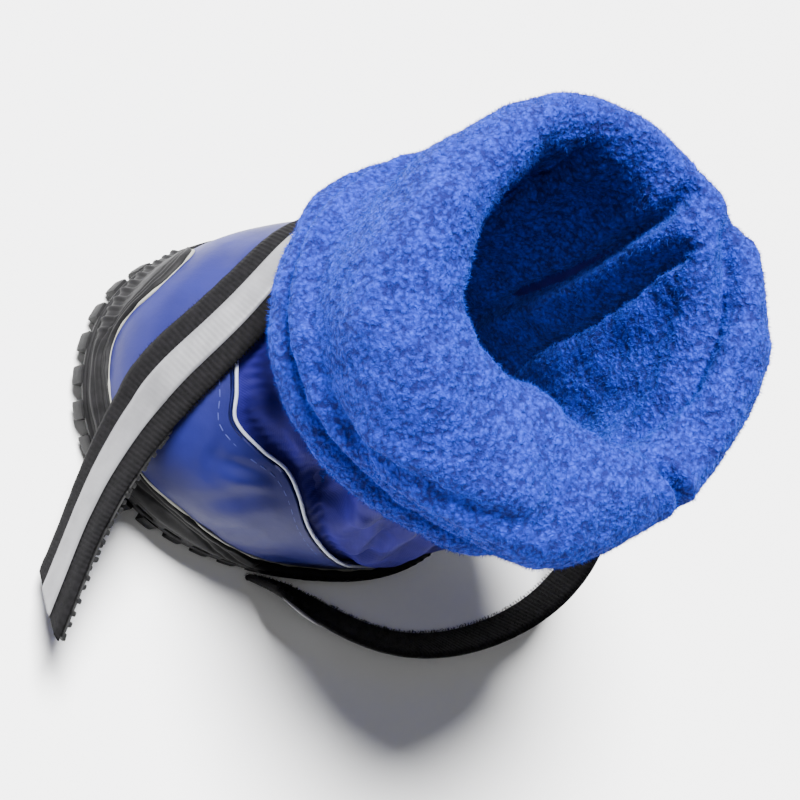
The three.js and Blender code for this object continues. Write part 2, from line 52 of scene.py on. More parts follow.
sections = table("height toe heel side frontPower backPower lean", [
    (0.00, 0.985, 0.965, 0.985, 2.10, 2.60, 0.000),
    (0.08, 1.000, 0.985, 1.000, 2.10, 2.60, 0.000),
    (0.19, 0.995, 0.990, 1.042, 2.10, 2.50, -0.034),
    (0.27, 0.930, 0.975, 1.034, 2.10, 2.40, -0.050),
    (0.33, 0.820, 0.955, 1.000, 2.10, 2.30, -0.062),
    (0.40, 0.655, 0.930, 0.952, 2.05, 2.20, -0.072),
    (0.46, 0.545, 0.900, 0.920, 2.00, 2.15, -0.078),
    (0.56, 0.490, 0.865, 0.905, 2.00, 2.10, -0.093),
    (0.70, 0.505, 0.850, 0.910, 2.00, 2.00, -0.108),
    (1.00, 0.530, 0.850, 0.910, 2.00, 2.00, -0.122)])
leatherEdge = table("fromToe height", [
    (0, 0.93), (12, 0.925), (21, 0.905), (33, 0.95), (44, 1.0), (54, 0.97), (65, 0.865), (82, 0.67),
    (96, 0.48), (107, 0.36), (122, 0.33), (145, 0.40), (180, 0.47)])
# Slack collar by plan angle: inner, outer, waist and hem are shares of the collar's radius.
collarSize = dict(radius=40.0, crest=99.0, hem=58.0, roll=10.0, ridge=6.0)
collar = table("angle inner outer crest waist hem drop", [
    (-210, 0.83, 1.19, 1.040, 1.08, 1.06, 0.99),
    (-180, 0.82, 1.13, 1.010, 0.97, 1.00, 0.98),
    (-150, 0.63, 0.98, 0.995, 0.92, 1.01, 0.97),
    (-120, 0.50, 0.95, 0.985, 0.93, 1.03, 0.98),
    (-90, 0.43, 0.95, 0.980, 0.94, 1.01, 1.00),
    (-60, 0.34, 0.93, 0.975, 0.92, 0.95, 1.03),
    (-30, 0.26, 0.95, 0.975, 0.92, 0.91, 1.07),
    (0, 0.27, 1.02, 0.985, 0.98, 0.93, 1.07),
    (28, 0.44, 1.05, 0.990, 1.02, 1.00, 1.05),
    (52, 0.72, 1.10, 0.985, 1.05, 1.05, 1.02),
    (78, 0.78, 1.17, 1.030, 1.10, 1.09, 1.01),
    (105, 0.80, 1.20, 1.045, 1.12, 1.10, 1.00),
    (135, 0.83, 1.19, 1.040, 1.08, 1.06, 0.99),
    (160, 0.85, 1.17, 1.025, 1.02, 1.02, 0.98),
    (180, 0.82, 1.13, 1.010, 0.97, 1.00, 0.98),
    (210, 0.63, 0.98, 0.995, 0.92, 1.01, 0.97)])


# Cubic through a table's rows, sloped at each row like the line between its neighbours.
def readTable(rows, key, column, at):
    k, v = rows[key], rows[column]
    end = len(k) - 1
    x = np.clip(at, k[0], k[end])
    i = np.searchsorted(k[1:end], x, side="left")
    up = np.minimum(np.arange(end + 1) + 1, end)
    down = np.maximum(np.arange(end + 1) - 1, 0)
    slope = (v[up] - v[down]) / (k[up] - k[down])
    step = k[i + 1] - k[i]
    t = (x - k[i]) / step
    rise = v[i + 1] - v[i]
    bendIn = slope[i] * step - rise
    bendOut = rise - slope[i + 1] * step
    return v[i] + t * rise + t * (1 - t) * ((1 - t) * bendIn + t * bendOut)


def smooth(x, low, high):
    t = np.clip((x - low) / (high - low), 0, 1)
    return t * t * (3 - 2 * t)


def mix(a, b, t):
    return a + (b - a) * t


def collarShare(column, angle):
    turn = (np.degrees(angle) + 540) % 360 - 180
    return readTable(collar, "angle", column, turn)


def sectionCentre(z):
    lean = readTable(sections, "height", "lean", z / last["shaftHeight"])
    return last["halfWidth"] * lean


# Superellipse by section, blended into the collar's middle radius higher up.
def sectionRadius(angle, z):
    share = z / last["shaftHeight"]
    front = np.sin(angle) < 0
    toe = last["toeReach"] * readTable(sections, "height", "toe", share)
    heel = last["heelReach"] * readTable(sections, "height", "heel", share)
    reach = np.where(front, toe, heel)
    power = np.where(front, readTable(sections, "height", "frontPower", share),
                     readTable(sections, "height", "backPower", share))
    side = last["halfWidth"] * readTable(sections, "height", "side", share)
    across = np.abs(np.cos(angle)) / side
    along = np.abs(np.sin(angle)) / reach
    plain = (across ** power + along ** power) ** (-1 / power)
    middle = collarSize["radius"] * (collarShare("inner", angle) + collarShare("outer", angle)) / 2
    return mix(plain, middle, smooth(share, 0.58, 0.98))


def around(angle, radius, z):
    x = sectionCentre(z) + radius * np.cos(angle)
    y = last["ballOffset"] + radius * np.sin(angle)
    return np.stack(np.broadcast_arrays(x, y, z), -1)


def lastPoint(angle, z):
    return around(angle, sectionRadius(angle, z), z)


def unit(v):
    return v / np.maximum(np.linalg.norm(v, axis=-1, keepdims=True), 1e-9)


def lastNormal(angle, z):
    turn = lastPoint(angle + 0.01, z) - lastPoint(angle - 0.01, z)
    rise = lastPoint(angle, z + 0.01) - lastPoint(angle, z - 0.01)
    return unit(np.cross(turn, rise))


# The last's surface, moved in along its normal by a depth.
def skin(angle, z, depth):
    return lastPoint(angle, z) - lastNormal(angle, z) * np.asarray(depth, float)[..., None]


def degreesFromToe(angle):
    return np.degrees(np.arccos(np.clip(-np.sin(angle), -1, 1)))


def leatherTop(angle):
    return last["vampHeight"] * readTable(leatherEdge, "fromToe", "height", degreesFromToe(angle))


# Smooth value noise: random lattice values, blended with an eased trilinear weight. size in mm.
lattice = rng.random((64, 64, 64)).astype(np.float32) * 2 - 1


def noise(points, size, shift=0.0):
    p = points / size + shift
    cell = np.floor(p).astype(int)
    t = p - cell
    t = t * t * (3 - 2 * t)
    total = 0
    for dx in (0, 1):
        for dy in (0, 1):
            for dz in (0, 1):
                value = lattice[(cell[..., 0] + dx) % 64, (cell[..., 1] + dy) % 64, (cell[..., 2] + dz) % 64]
                weight = ((t[..., 0] if dx else 1 - t[..., 0]) * (t[..., 1] if dy else 1 - t[..., 1])
                          * (t[..., 2] if dz else 1 - t[..., 2]))
                total = total + value * weight
    return total


# Camera: the photograph's picture is turned a quarter, so the camera is rolled with it.
view = dict(azimuth=18.0, elevation=56.0, roll=12.0, focal=1993.0, distance=438.2, slide=2.27, lift=23.7)
MM = 0.001


def makeCamera():
    a, e, r = (math.radians(view[k]) for k in ("azimuth", "elevation", "roll"))
    back = np.array([math.sin(a) * math.cos(e), -math.cos(a) * math.cos(e), math.sin(e)])
    right = np.array([math.cos(a), math.sin(a), 0.0])
    up = np.cross(back, right)
    aim = np.array([0, last["ballOffset"], 0])
    eye = (aim + right * view["slide"] + up * view["lift"] + back * view["distance"]) * MM
    x = right * math.sin(r) + up * math.cos(r)
    y = -right * math.cos(r) + up * math.sin(r)
    camera = bpy.data.cameras.new("camera")
    camera.sensor_width = 36
    camera.lens = view["focal"] / 800 * 36
    camera.clip_start, camera.clip_end = 0.01, 20
    camera.dof.use_dof = False
    rig = bpy.data.objects.new("camera", camera)
    bpy.context.scene.collection.objects.link(rig)
    rig.matrix_world = Matrix([[x[i], y[i], back[i], eye[i]] for i in range(3)] + [[0, 0, 0, 1]])
    bpy.context.scene.camera = rig
    return back


camBack = makeCamera()
print("camera placed")


# sRGB hex to linear, dimmed if asked.
def linear(code, dim=1.0):
    values = [int(code[i:i + 2], 16) / 255 for i in (1, 3, 5)]
    return [dim * (v / 12.92 if v <= 0.04045 else ((v + 0.055) / 1.055) ** 2.4) for v in values] + [1.0]


# Inputs go by name, or by number as i0, i1. A node given as an input links its first output.
def addNode(tree, kind, settings=None, **inputs):
    node = tree.nodes.new(kind)
    for key, value in (settings or {}).items():
        setattr(node, key, value)
    for key, value in inputs.items():
        socket = node.inputs[int(key[1:])] if key[1:].isdigit() else node.inputs[key.replace("_", " ")]
        if isinstance(value, bpy.types.Node):
            value = value.outputs[0]
        if isinstance(value, bpy.types.NodeSocket):
            tree.links.new(value, socket)
        else:
            socket.default_value = value
    return node


# Noise of a real grain size in millimetres, in the object's own space.
def grain(tree, size, detail=2.0, roughness=0.55):
    where = addNode(tree, "ShaderNodeTexCoord").outputs["Object"]
    return addNode(tree, "ShaderNodeTexNoise", Vector=where, Scale=1 / (size * MM), Detail=detail,
                   Roughness=roughness)


def rescale(tree, value, low, high, start=0.0, end=1.0):
    return addNode(tree, "ShaderNodeMapRange", Value=value, From_Min=start, From_Max=end,
                   To_Min=low, To_Max=high)


def blendColour(tree, factor, low, high, start=0.3, end=0.7):
    spread = rescale(tree, factor, 0.0, 1.0, start, end)
    return addNode(tree, "ShaderNodeMix", {"data_type": "RGBA"}, i0=spread, i6=low, i7=high).outputs[2]


# Two tones blended by a pattern, under layers of relief, finest first: pattern, depth in mm, strength.
# A pattern is a function of the node tree, or the size and detail of a noise.
def makeMaterial(name, low, high, tone, layers, spread=(0.3, 0.7), **sockets):
    material = bpy.data.materials.new(name)
    material.use_nodes = True
    tree = material.node_tree
    tree.nodes.clear()

    def pattern(part):
        return part(tree) if callable(part) else grain(tree, *part)

    under = {}
    for height, depth, strength in layers:
        under = {"Normal": addNode(tree, "ShaderNodeBump", Height=pattern(height), Distance=depth * MM,
                                   Strength=strength, **under)}
    sockets = {key: value(tree) if callable(value) else value for key, value in sockets.items()}
    shader = addNode(tree, "ShaderNodeBsdfPrincipled", Base_Color=blendColour(
        tree, pattern(tone), low, high, *spread), **under, **sockets)
    addNode(tree, "ShaderNodeOutputMaterial", Surface=shader)
    return material


def writeMesh(name, points, faces, material, uv=None, values=None, shade=True):
    mesh = bpy.data.meshes.new(name)
    sides = faces.shape[1]
    mesh.vertices.add(len(points))
    mesh.vertices.foreach_set("co", (points * MM).astype(np.float32).ravel())
    mesh.loops.add(faces.size)
    mesh.loops.foreach_set("vertex_index", faces.astype(np.int32).ravel())
    mesh.polygons.add(len(faces))
    mesh.polygons.foreach_set("loop_start", np.arange(0, faces.size, sides, dtype=np.int32))
    mesh.update(calc_edges=True)
    mesh.validate()
    mesh.polygons.foreach_set("use_smooth", np.full(len(mesh.polygons), shade))
    if uv is not None:
        layer = mesh.uv_layers.new(name="uv")
        layer.data.foreach_set("uv", uv.reshape(-1, 2)[faces.ravel()].astype(np.float32).ravel())
    for key, value in (values or {}).items():
        store = mesh.attributes.new(key, "FLOAT", "POINT")
        store.data.foreach_set("value", value.astype(np.float32).ravel())
    mesh.materials.append(material)
    piece = bpy.data.objects.new(name, mesh)
    bpy.context.scene.collection.objects.link(piece)
    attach(piece, "root")
    return piece


# Faces of a grid of rows by columns, with either way round closed on itself.
def gridFaces(rows, columns, wrapRows=False, wrapColumns=False):
    i, j = np.meshgrid(np.arange(rows if wrapRows else rows - 1),
                       np.arange(columns if wrapColumns else columns - 1), indexing="ij")
    i, j = i.ravel(), j.ravel()
    ni, nj = (i + 1) % rows, (j + 1) % columns
    return np.stack([i * columns + j, ni * columns + j, ni * columns + nj, i * columns + nj], 1)


def gridMesh(name, grid, material, wrapRows=True, wrapColumns=False, **more):
    faces = gridFaces(*grid.shape[:2], wrapRows, wrapColumns)
    return writeMesh(name, grid.reshape(-1, 3), faces, material, **more)


# Normals of a grid that is closed along its first axis and open along its second.
def gridNormals(grid):
    turn = np.roll(grid, -1, 0) - np.roll(grid, 1, 0)
    down = np.concatenate(
        [grid[:, 1:2] - grid[:, :1], grid[:, 2:] - grid[:, :-2], grid[:, -1:] - grid[:, -2:-1]], 1)
    return unit(np.cross(turn, down))


def fullTurn(count):
    return np.linspace(0, math.tau, count, endpoint=False)


def runLengths(line):
    return np.concatenate([[0], np.cumsum(np.linalg.norm(np.diff(line, axis=0), axis=1))])


# Curves through rows of control points: Catmull-Rom, with as many steps per span as its mean length needs.
def throughPoints(control, steps):
    count = len(control)
    spans = np.linalg.norm(np.diff(control, axis=0), axis=-1).mean(1)
    ends = np.concatenate([[0], np.cumsum(spans)])
    at = np.interp(np.linspace(0, ends[-1], steps), ends, np.arange(count))
    i = np.minimum(at.astype(int), count - 2)
    t = (at - i)[:, None, None]
    p0, p1 = control[np.maximum(i - 1, 0)], control[i]
    p2, p3 = control[i + 1], control[np.minimum(i + 2, count - 1)]
    curve = 0.5 * (2 * p1 + (p2 - p0) * t + (2 * p0 - 5 * p1 + 4 * p2 - p3) * t ** 2
                   + (3 * p1 - p0 - 3 * p2 + p3) * t ** 3)
    return curve, at


# Hairs as narrow triangles: root, lean and length are arrays.
def hairMesh(name, roots, ways, lengths, width, material, values=None):
    side = unit(np.cross(ways, rng.normal(size=ways.shape))) * width / 2
    points = np.stack([roots - side, roots + side, roots + ways * lengths[:, None]], 1).reshape(-1, 3)
    faces = np.arange(len(points)).reshape(-1, 3)
    spread = {k: np.repeat(v, 3) for k, v in (values or {}).items()}
    return writeMesh(name, points, faces, material, values=spread, shade=False)


# Rounded blocks: a fine box whose points are drawn onto its corner radius.
def roundedBlock(half, radius, steps=3):
    half = np.asarray(half, float)
    side = np.linspace(-1, 1, steps + 2)
    u, v = np.meshgrid(side, side, indexing="ij")
    points, faces = [], []
    base = gridFaces(steps + 2, steps + 2)
    for axis in range(3):
        for sign in (-1, 1):
            p = np.zeros(u.shape + (3,))
            p[..., axis] = sign
            p[..., (axis + 1) % 3] = u * sign
            p[..., (axis + 2) % 3] = v
            p = p.reshape(-1, 3) * half
            core = np.clip(p, -(half - radius), half - radius)
            away = p - core
            p = core + unit(away) * np.minimum(radius, np.linalg.norm(away, axis=1, keepdims=True) * 9)
            faces.append(base + len(points) * len(p))
            points.append(p)
    return np.concatenate(points), np.concatenate(faces)


# One mesh of many copies of a block, each in a frame of three columns at its origin.
def joinCopies(block, faces, frames, origins):
    points = np.einsum("nij,kj->nki", frames, block) + origins[:, None, :]
    joined = faces[None] + (np.arange(len(origins)) * len(block))[:, None, None]
    return points.reshape(-1, 3), joined.reshape(-1, faces.shape[1])


# Pile fleece: curled tufts about a millimetre across, their colour painted bright on top and dark in the gaps
# as shade, and broader patches where the pile lies differently. Sizes in mm.
pile = dict(tuft=0.9, swirl=1.1, shift=1.3, strand=0.75, patch=9.0)


# Height of the tufts: smooth Voronoi cells on coordinates that a noise has shifted, mixed with fine strands.
def tuftHeight(tree):
    where = addNode(tree, "ShaderNodeTexCoord").outputs["Object"]
    swirl = addNode(tree, "ShaderNodeTexNoise", Vector=where, Scale=1 / (pile["swirl"] * MM), Detail=2.0)
    shift = addNode(tree, "ShaderNodeVectorMath", {"operation": "SUBTRACT"}, i0=swirl.outputs["Color"],
                    i1=(0.5, 0.5, 0.5))
    shift = addNode(tree, "ShaderNodeVectorMath", {"operation": "SCALE"}, i0=shift, Scale=pile["shift"] * MM)
    curled = addNode(tree, "ShaderNodeVectorMath", {"operation": "ADD"}, i0=where, i1=shift)
    cells = addNode(tree, "ShaderNodeTexVoronoi", {"feature": "SMOOTH_F1"}, Vector=curled,
                    Scale=1 / (pile["tuft"] * MM), Smoothness=0.35)
    return addNode(tree, "ShaderNodeMix", {"data_type": "FLOAT"}, i0=0.55,
                   i2=rescale(tree, cells, 0.0, 1.0, 0.7, 0.0), i3=grain(tree, pile["strand"], 4.0, 0.65))


# Painted shade: the colour darkens with the nub's lift and the tufts' height, darkest in the gaps between
# tufts.
def tuftPaintedShade(tree):
    lift = addNode(tree, "ShaderNodeAttribute", {"attribute_name": "lift"}).outputs["Fac"]
    return addNode(tree, "ShaderNodeMath", {"operation": "MULTIPLY_ADD"}, i0=lift, i1=0.35,
                   i2=tuftHeight(tree))


def makeFleece(name, low, high, edge):
    material = makeMaterial(name, linear(low), linear(high), tuftPaintedShade, [((0.4, 3.0), 0.18, 0.7),
                            (tuftHeight, 0.6, 1.0)], (0.42, 0.88), Roughness=0.95, Specular_IOR_Level=0.1,
                            Sheen_Weight=0.24, Sheen_Roughness=0.35, Sheen_Tint=linear(edge))
    tree = material.node_tree
    colour = tree.nodes["Principled BSDF"].inputs["Base Color"]
    patches = rescale(tree, grain(tree, pile["patch"], 1.0), 0.9, 1.1)
    tinted = addNode(tree, "ShaderNodeHueSaturation", Color=colour.links[0].from_socket, Value=patches)
    tree.links.new(tinted.outputs[0], colour)
    return material


# Cloth relief on its own millimetre coordinates: the sine of 2 pi u / pitch, and for a plain weave that
# times the sine of 2 pi v / pitch.
def woven(pitch, crossed=False):
    def height(tree):
        cloth = addNode(tree, "ShaderNodeUVMap", {"uv_map": "uv"})
        turns = addNode(tree, "ShaderNodeVectorMath", {"operation": "SCALE"}, i0=cloth,
                        Scale=math.tau / pitch)
        split = addNode(tree, "ShaderNodeSeparateXYZ", i0=turns)
        x = addNode(tree, "ShaderNodeMath", {"operation": "SINE"}, i0=split)
        if not crossed:
            return x
        y = addNode(tree, "ShaderNodeMath", {"operation": "SINE"}, i0=split.outputs[1])
        return addNode(tree, "ShaderNodeMath", {"operation": "MULTIPLY"}, i0=x, i1=y)
    return height


# Leather grain: fine cells 0.45 mm apart.
def leatherCells(tree):
    where = addNode(tree, "ShaderNodeTexCoord").outputs["Object"]
    return addNode(tree, "ShaderNodeTexVoronoi", Vector=where, Scale=1 / (0.45 * MM))


# Small trim: one colour, a fifth darker in patches three grains wide.
def makePlain(name, code, roughness, size=1.0, depth=0.05):
    return makeMaterial(name, linear(code, 0.8), linear(code), (size * 3, 3.0), [((size,), depth, 0.6)],
                        Roughness=roughness)


fleece = makeFleece("pile_fleece", "#151A5A", "#2236B4", "#4272F4")
fleecePile = makeFleece("pile_fleece_tips", "#132478", "#2040B8", "#4A6CE8")
# Corrected smooth leather, finished with a thin coat: broad soft highlights that its waves break up.
leather = makeMaterial(
    "smooth_leather", linear("#14164A"), linear("#1A1D5A"), (14.0,), [(leatherCells, 0.03, 0.35),
    ((5.0,), 0.25, 0.5)], Roughness=lambda tree: rescale(tree, grain(tree, 4.0, 3.0), 0.4, 0.54),
    Specular_IOR_Level=0.16)
# Plain-woven nylon: matt, a little violet where the light grazes it. The weave is drawn coarse, at 0.55 mm.
nylon = makeMaterial(
    "woven_nylon", linear("#171350"), linear("#241F70"), (11.0, 3.0),
    [(woven(0.55, crossed=True), 0.05, 0.5), ((3.5, 3.0), 0.3, 0.5)], Roughness=0.55, Specular_IOR_Level=0.07,
    Sheen_Weight=0.04, Sheen_Tint=linear("#4038D8"))
# Moulded rubber: near black, greyer where it is scuffed.
rubber = makeMaterial(
    "moulded_rubber", linear("#0B0B0C"), linear("#181719"), (2.2, 4.0, 0.7), [((0.35,), 0.05, 0.5),
    ((3.0,), 0.2, 0.4)], (0.35, 0.8), Roughness=0.6, Specular_IOR_Level=0.13)
# Woven polyester webbing: dull black with cross ribs.
webbing = makeMaterial(
    "webbing", linear("#070708"), linear("#100F11"), (1.2, 3.0),
    [(woven(1.05), 0.06, 0.8), ((0.6,), 0.15, 0.7)], Roughness=0.9, Specular_IOR_Level=0.12)
# Reflective tape: glass beads on cloth, an even silver grey when the light isn't beside the eye.
tape = makeMaterial(
    "reflective_tape", linear("#626265"), linear("#747477"), (6.0, 3.0), [(woven(1.05), 0.012, 0.5),
    ((1.8,), 0.08, 0.5)], Roughness=0.5, Metallic=0.15)
pipingFinish = makePlain("reflective_piping", "#B9BFD2", 0.4)
threadFinish = makePlain("stitching_thread", "#2C357E", 0.7, 0.3)
glueFinish = makePlain("dried_glue", "#85857E", 0.6, 0.8, 0.15)
hookFinish = makePlain("hook_pile", "#0D0D0E", 0.6, 0.4)
print("materials made")


# Rubber sole: a cup with a stepped side and a moulded band round the toe.
sole = dict(columns=540, lugDepth=2.4, wall=1.9, sideRim=8.6, toeRim=10.4, ledge=0.5, ledgeHeight=5.6,
            toeSpring=2.2, heelSpring=0.9, arch=0.9, archStart=4.0, archEnd=13.0, pitch=7.0, lugWidth=4.0,
            toeProud=1.6, lugReach=6.0, lugClimb=4.6, barInset=11.0,
            guardColumns=460, guardRows=42, ribs=132)


# Tread's height off the floor: squares of the way past where toe and heel spring start, and the arch.
def treadRise(y):
    toeStart = last["ballOffset"] - 0.68 * last["toeReach"]
    heelStart = last["ballOffset"] + 0.7 * last["heelReach"]
    toe = np.maximum(0, toeStart - y) / (0.36 * last["toeReach"])
    heel = np.maximum(0, y - heelStart) / (0.36 * last["heelReach"])
    a, b = sole["archStart"], sole["archEnd"]
    arch = smooth(y, a, a + 2) * (1 - smooth(y, b - 2, b))
    return sole["toeSpring"] * toe ** 2 + sole["heelSpring"] * heel ** 2 + sole["arch"] * arch


def rimHeight(angle):
    fromToe = degreesFromToe(angle)
    return mix(sole["toeRim"], sole["sideRim"], smooth(fromToe, 45, 75)) + 0.6 * smooth(fromToe, 140, 175)


# Toe guard: the rubber climbs the leather from the rim, highest on the far side of the toe.
guard = table("angle top thick", [
    (-129, 10.6, 0.8), (-126, 16.5, 1.0), (-123, 20.6, 1.1), (-118, 22.3, 1.1), (-112, 22.1, 1.0),
    (-107, 20.4, 1.0), (-103, 17.6, 1.0), (-99, 14.9, 1.0), (-95, 13.6, 1.0), (-90, 13.5, 1.0),
    (-84, 13.8, 0.8), (-76, 13.7, 0.55), (-61, 14.7, 0.55), (-55, 15.7, 0.8), (-49, 16.3, 1.0),
    (-42, 15.4, 1.0), (-34, 13.4, 1.0), (-24, 10.7, 0.9), (-14, 9.0, 0.7)])


def signedDegrees(angle):
    return (np.degrees(angle) + 180) % 360 - 180


def makeToeGuard():
    first, final = guard["angle"][[0, -1]]
    turn = np.linspace(first, final, sole["guardColumns"])[:, None]
    angle = np.radians(turn)
    top = readTable(guard, "angle", "top", turn)
    thick = readTable(guard, "angle", "thick", turn)
    ends = smooth(turn, first, first + 2.5) * (1 - smooth(turn, final - 6, final))
    rim = rimHeight(angle)
    share = np.linspace(0, 1, sole["guardRows"])
    z = mix(np.minimum(rim - 1.2, top - 0.4), top, share)
    swell = mix(last["fit"] + sole["wall"] + 0.15, thick, smooth(z, rim - 0.6, rim + 2.4))
    # Short upright ribs along the far side, and two fine lines under the top edge.
    ribs = np.maximum(0, np.sin(turn / 2.7 * math.tau)) * smooth(-turn, 95, 102)
    swell = swell + 0.5 * ribs * (1 - smooth(z, rim + 1.5, rim + 4.5))
    for drop in (1.7, 3.1):
        swell = swell - 0.3 * np.exp(-((top - z - drop) / 0.32) ** 2)
    swell = swell + 0.14 * noise(lastPoint(angle, z), 1.9)
    swell = swell * np.sqrt(np.clip((1 - share) * 14, 0, 1)) * ends
    grid = np.concatenate([skin(angle, z, -swell), skin(angle, z, 0.25)[:, ::-3]], 1)
    return gridMesh("toe_guard", grid, rubber, False, True)


# The cup as rings: each goes round the last at a height over its base line, inside the rubber's side.
def makeSole():
    angle = fullTurn(sole["columns"])
    wall = sole["wall"]
    outside = -(last["fit"] + wall)
    top = rimHeight(angle)
    toeBand = 1 - smooth(degreesFromToe(angle), 58, 72)

    def rail(z, depth):
        point = skin(angle, z, depth)
        point[:, 2] = z
        return point

    foot = skin(angle, sole["lugDepth"], outside + 0.8)
    rows = []
    for share in (0.0, 0.4, 0.8, 0.93):
        y = mix(last["ballOffset"], foot[:, 1], share)
        rows.append(np.stack([foot[:, 0] * share, y, sole["lugDepth"] + treadRise(y)], 1))
    low = sole["lugDepth"] + treadRise(foot[:, 1])
    foot[:, 2] = low
    rows.append(foot)
    # The ledge gives way to a row of slots on the near side of the toe. A fine groove near the top of the
    # band goes only round the toe.
    ledge = sole["ledgeHeight"]
    turn = signedDegrees(angle)
    beside = smooth(turn, -66, -60) * (1 - smooth(turn, -20, -14))
    step = mix(sole["ledge"], -1.1 * smooth(np.sin(turn / 9.6 * math.tau), -0.35, -0.05), beside)
    for base, rise, depth, out, groove in (
            (low, 0.25, 0.2, 0, 0), (low, 0.8, 0, 0, 0), (ledge, -0.15, 0, 0, 0),
            (ledge, 0, 0, 0, 0), (ledge, 0.12, 0, 0.3, 0), (ledge, 0.3, 0, 1, 0),
            (ledge, 0.5, -0.05, 1, 0), (ledge, 1.1, -0.05, 1, 0), (ledge, 1.3, 0, 1, 0),
            (ledge, 1.45, 0, 0.3, 0), (ledge, 1.6, 0.05, 0, 0), (ledge, 1.9, 0.12, 0, 0),
            (top, -1.5, 0.05, 0, 0), (top, -1.3, 0.05, 0, 0.35), (top, -1.1, 0.05, 0, 0.35),
            (top, -0.9, 0.05, 0, 0), (top, -0.45, 0.12, 0, 0), (top, -0.15, 0.4, 0, 0),
            (top, 0, 0.8, 0, 0), (top, 0, wall - 0.3, 0, 0), (top, -0.1, wall, 0, 0),
            (top, -0.6, wall, 0, 0), (last["soleFloor"], 0, wall, 0, 0)):
        rows.append(rail(base + rise, outside + depth - out * step + groove * toeBand))
    inner = rows[-1].copy()
    inner[:, 0] *= 0.02
    inner[:, 1] = mix(last["ballOffset"], inner[:, 1], 0.02)
    return gridMesh("sole_cup", np.stack(rows + [inner], 1), rubber)


# Points on the rubber's side with upright frames: outward, along and up.
def sideFrames(angle, z):
    out = unit(lastNormal(angle, z) * [1, 1, 0])
    along = np.stack([-out[:, 1], out[:, 0], 0 * angle], 1)
    up = np.tile([0, 0, 1.0], (len(angle), 1))
    return skin(angle, z, -(last["fit"] + sole["wall"])), np.stack([out, along, up], 2)


# Rim lugs at every pitch of the outline, and cross bars under the foot except in the arch.
def makeLugs():
    pitch, width, reach, climb = (sole[k] for k in ("pitch", "lugWidth", "lugReach", "lugClimb"))
    fine = np.linspace(-math.pi / 2, 1.5 * math.pi, 1441)
    runs = runLengths(skin(fine, sole["lugDepth"], -(last["fit"] + sole["wall"]))[:, :2])
    count = round(runs[-1] / pitch)
    angle = np.interp(np.arange(count) / count * runs[-1], runs, fine)
    fromToe = degreesFromToe(angle)
    proud = mix(sole["toeProud"], 0.05, smooth(fromToe, 22, 50)) + 0.45 * smooth(fromToe, 78, 95)
    point, frames = sideFrames(angle, sole["lugDepth"])
    centre = point + frames[..., 0] * ((proud - reach) / 2)[:, None]
    centre[:, 2] = treadRise(point[:, 1]) + climb / 2
    scale = np.stack(np.broadcast_arrays((reach + proud) / 2, width / 2, climb / 2), 1)
    block, blockFaces = roundedBlock([1, 1, 1], 0.18, 4)
    lugs, lugFaces = joinCopies(block, blockFaces, frames * scale[:, None], centre)
    start = math.floor(last["toeReach"] * 0.68 / pitch) * pitch
    y = np.arange(-start, last["ballOffset"] + last["heelReach"], pitch)
    share = (y - last["ballOffset"]) / np.where(y < last["ballOffset"], last["toeReach"], last["heelReach"])
    half = last["halfWidth"] * np.sqrt(1 - np.minimum(1, share * share)) - sole["barInset"]
    arch = (y > sole["archStart"] - width / 2) & (y < sole["archEnd"] + width / 2)
    keep = (half > pitch) & ~arch
    y, half = y[keep], half[keep]
    height = (sole["lugDepth"] + 0.6) / 2
    scale = np.stack(np.broadcast_arrays(half, width / 2, height), 1)
    bars, barFaces = joinCopies(block, blockFaces, scale[:, None] * np.eye(3), np.stack(
        [0 * y, y, treadRise(y) + height], 1))
    return writeMesh("sole_lugs", np.concatenate([lugs, bars]),
                     np.concatenate([lugFaces, barFaces + len(lugs)]), rubber)


# Shallow upright ribs on the sole's side below the ledge, between the rim lugs.
def makeSideRibs():
    angle = fullTurn(sole["ribs"])
    angle = angle[degreesFromToe(angle) > 84]
    point, frames = sideFrames(angle, sole["sideRim"] - 0.9)
    block, faces = roundedBlock([0.3, 0.42, 0.75], 0.22, 2)
    return writeMesh("side_ribs", *joinCopies(block, faces, frames, point), rubber)


soleCup = makeSole()
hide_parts("outsole")
for piece in (soleCup, makeToeGuard(), makeLugs(), makeSideRibs()):
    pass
print("sole made")


# Leather vamp and quarters with the soft creases of a worn-in toe.
upper = dict(columns=480, rows=84)
# Soft troughs in the leather: plan angle and height of each end, half width and depth in mm.
leatherFolds = table("angleA zA angleB zB half depth", [
    (-60, 31, -47, 37, 1.6, 0.55),
    (-50, 24, -42, 35, 2.0, 0.45),
    (-66, 33, -58, 29, 1.3, 0.35),
    (-40, 16, -30, 26, 2.6, 0.4),
    (-100, 31, -84, 33, 2.2, 0.35),
    (-130, 26, -118, 31, 2.6, 0.4),
    (-20, 12, -12, 20, 2.0, 0.35),
    (160, 14, 178, 15, 2.2, 0.3)])


# For each fold, with d the distance from its line in half widths: depth * ease along the line *
# (exp(-d^2) less a low ridge round d = 1.9).
def troughs(points, folds):
    total = np.zeros(points.shape[:-1])
    for angleA, zA, angleB, zB, half, depth in zip(*folds.values()):
        a, b = lastPoint(np.radians(angleA), zA), lastPoint(np.radians(angleB), zB)
        span = b - a
        t = np.clip((points - a) @ span / (span @ span), 0, 1)
        away = np.linalg.norm(points - (a + t[..., None] * span), axis=-1) / half
        ease = np.sin(np.pi * np.clip(t * 0.86 + 0.07, 0, 1)) ** 0.7
        total += depth * ease * (np.exp(-away ** 2) - 0.45 * np.exp(-((away - 1.9) / 0.9) ** 2))
    return total


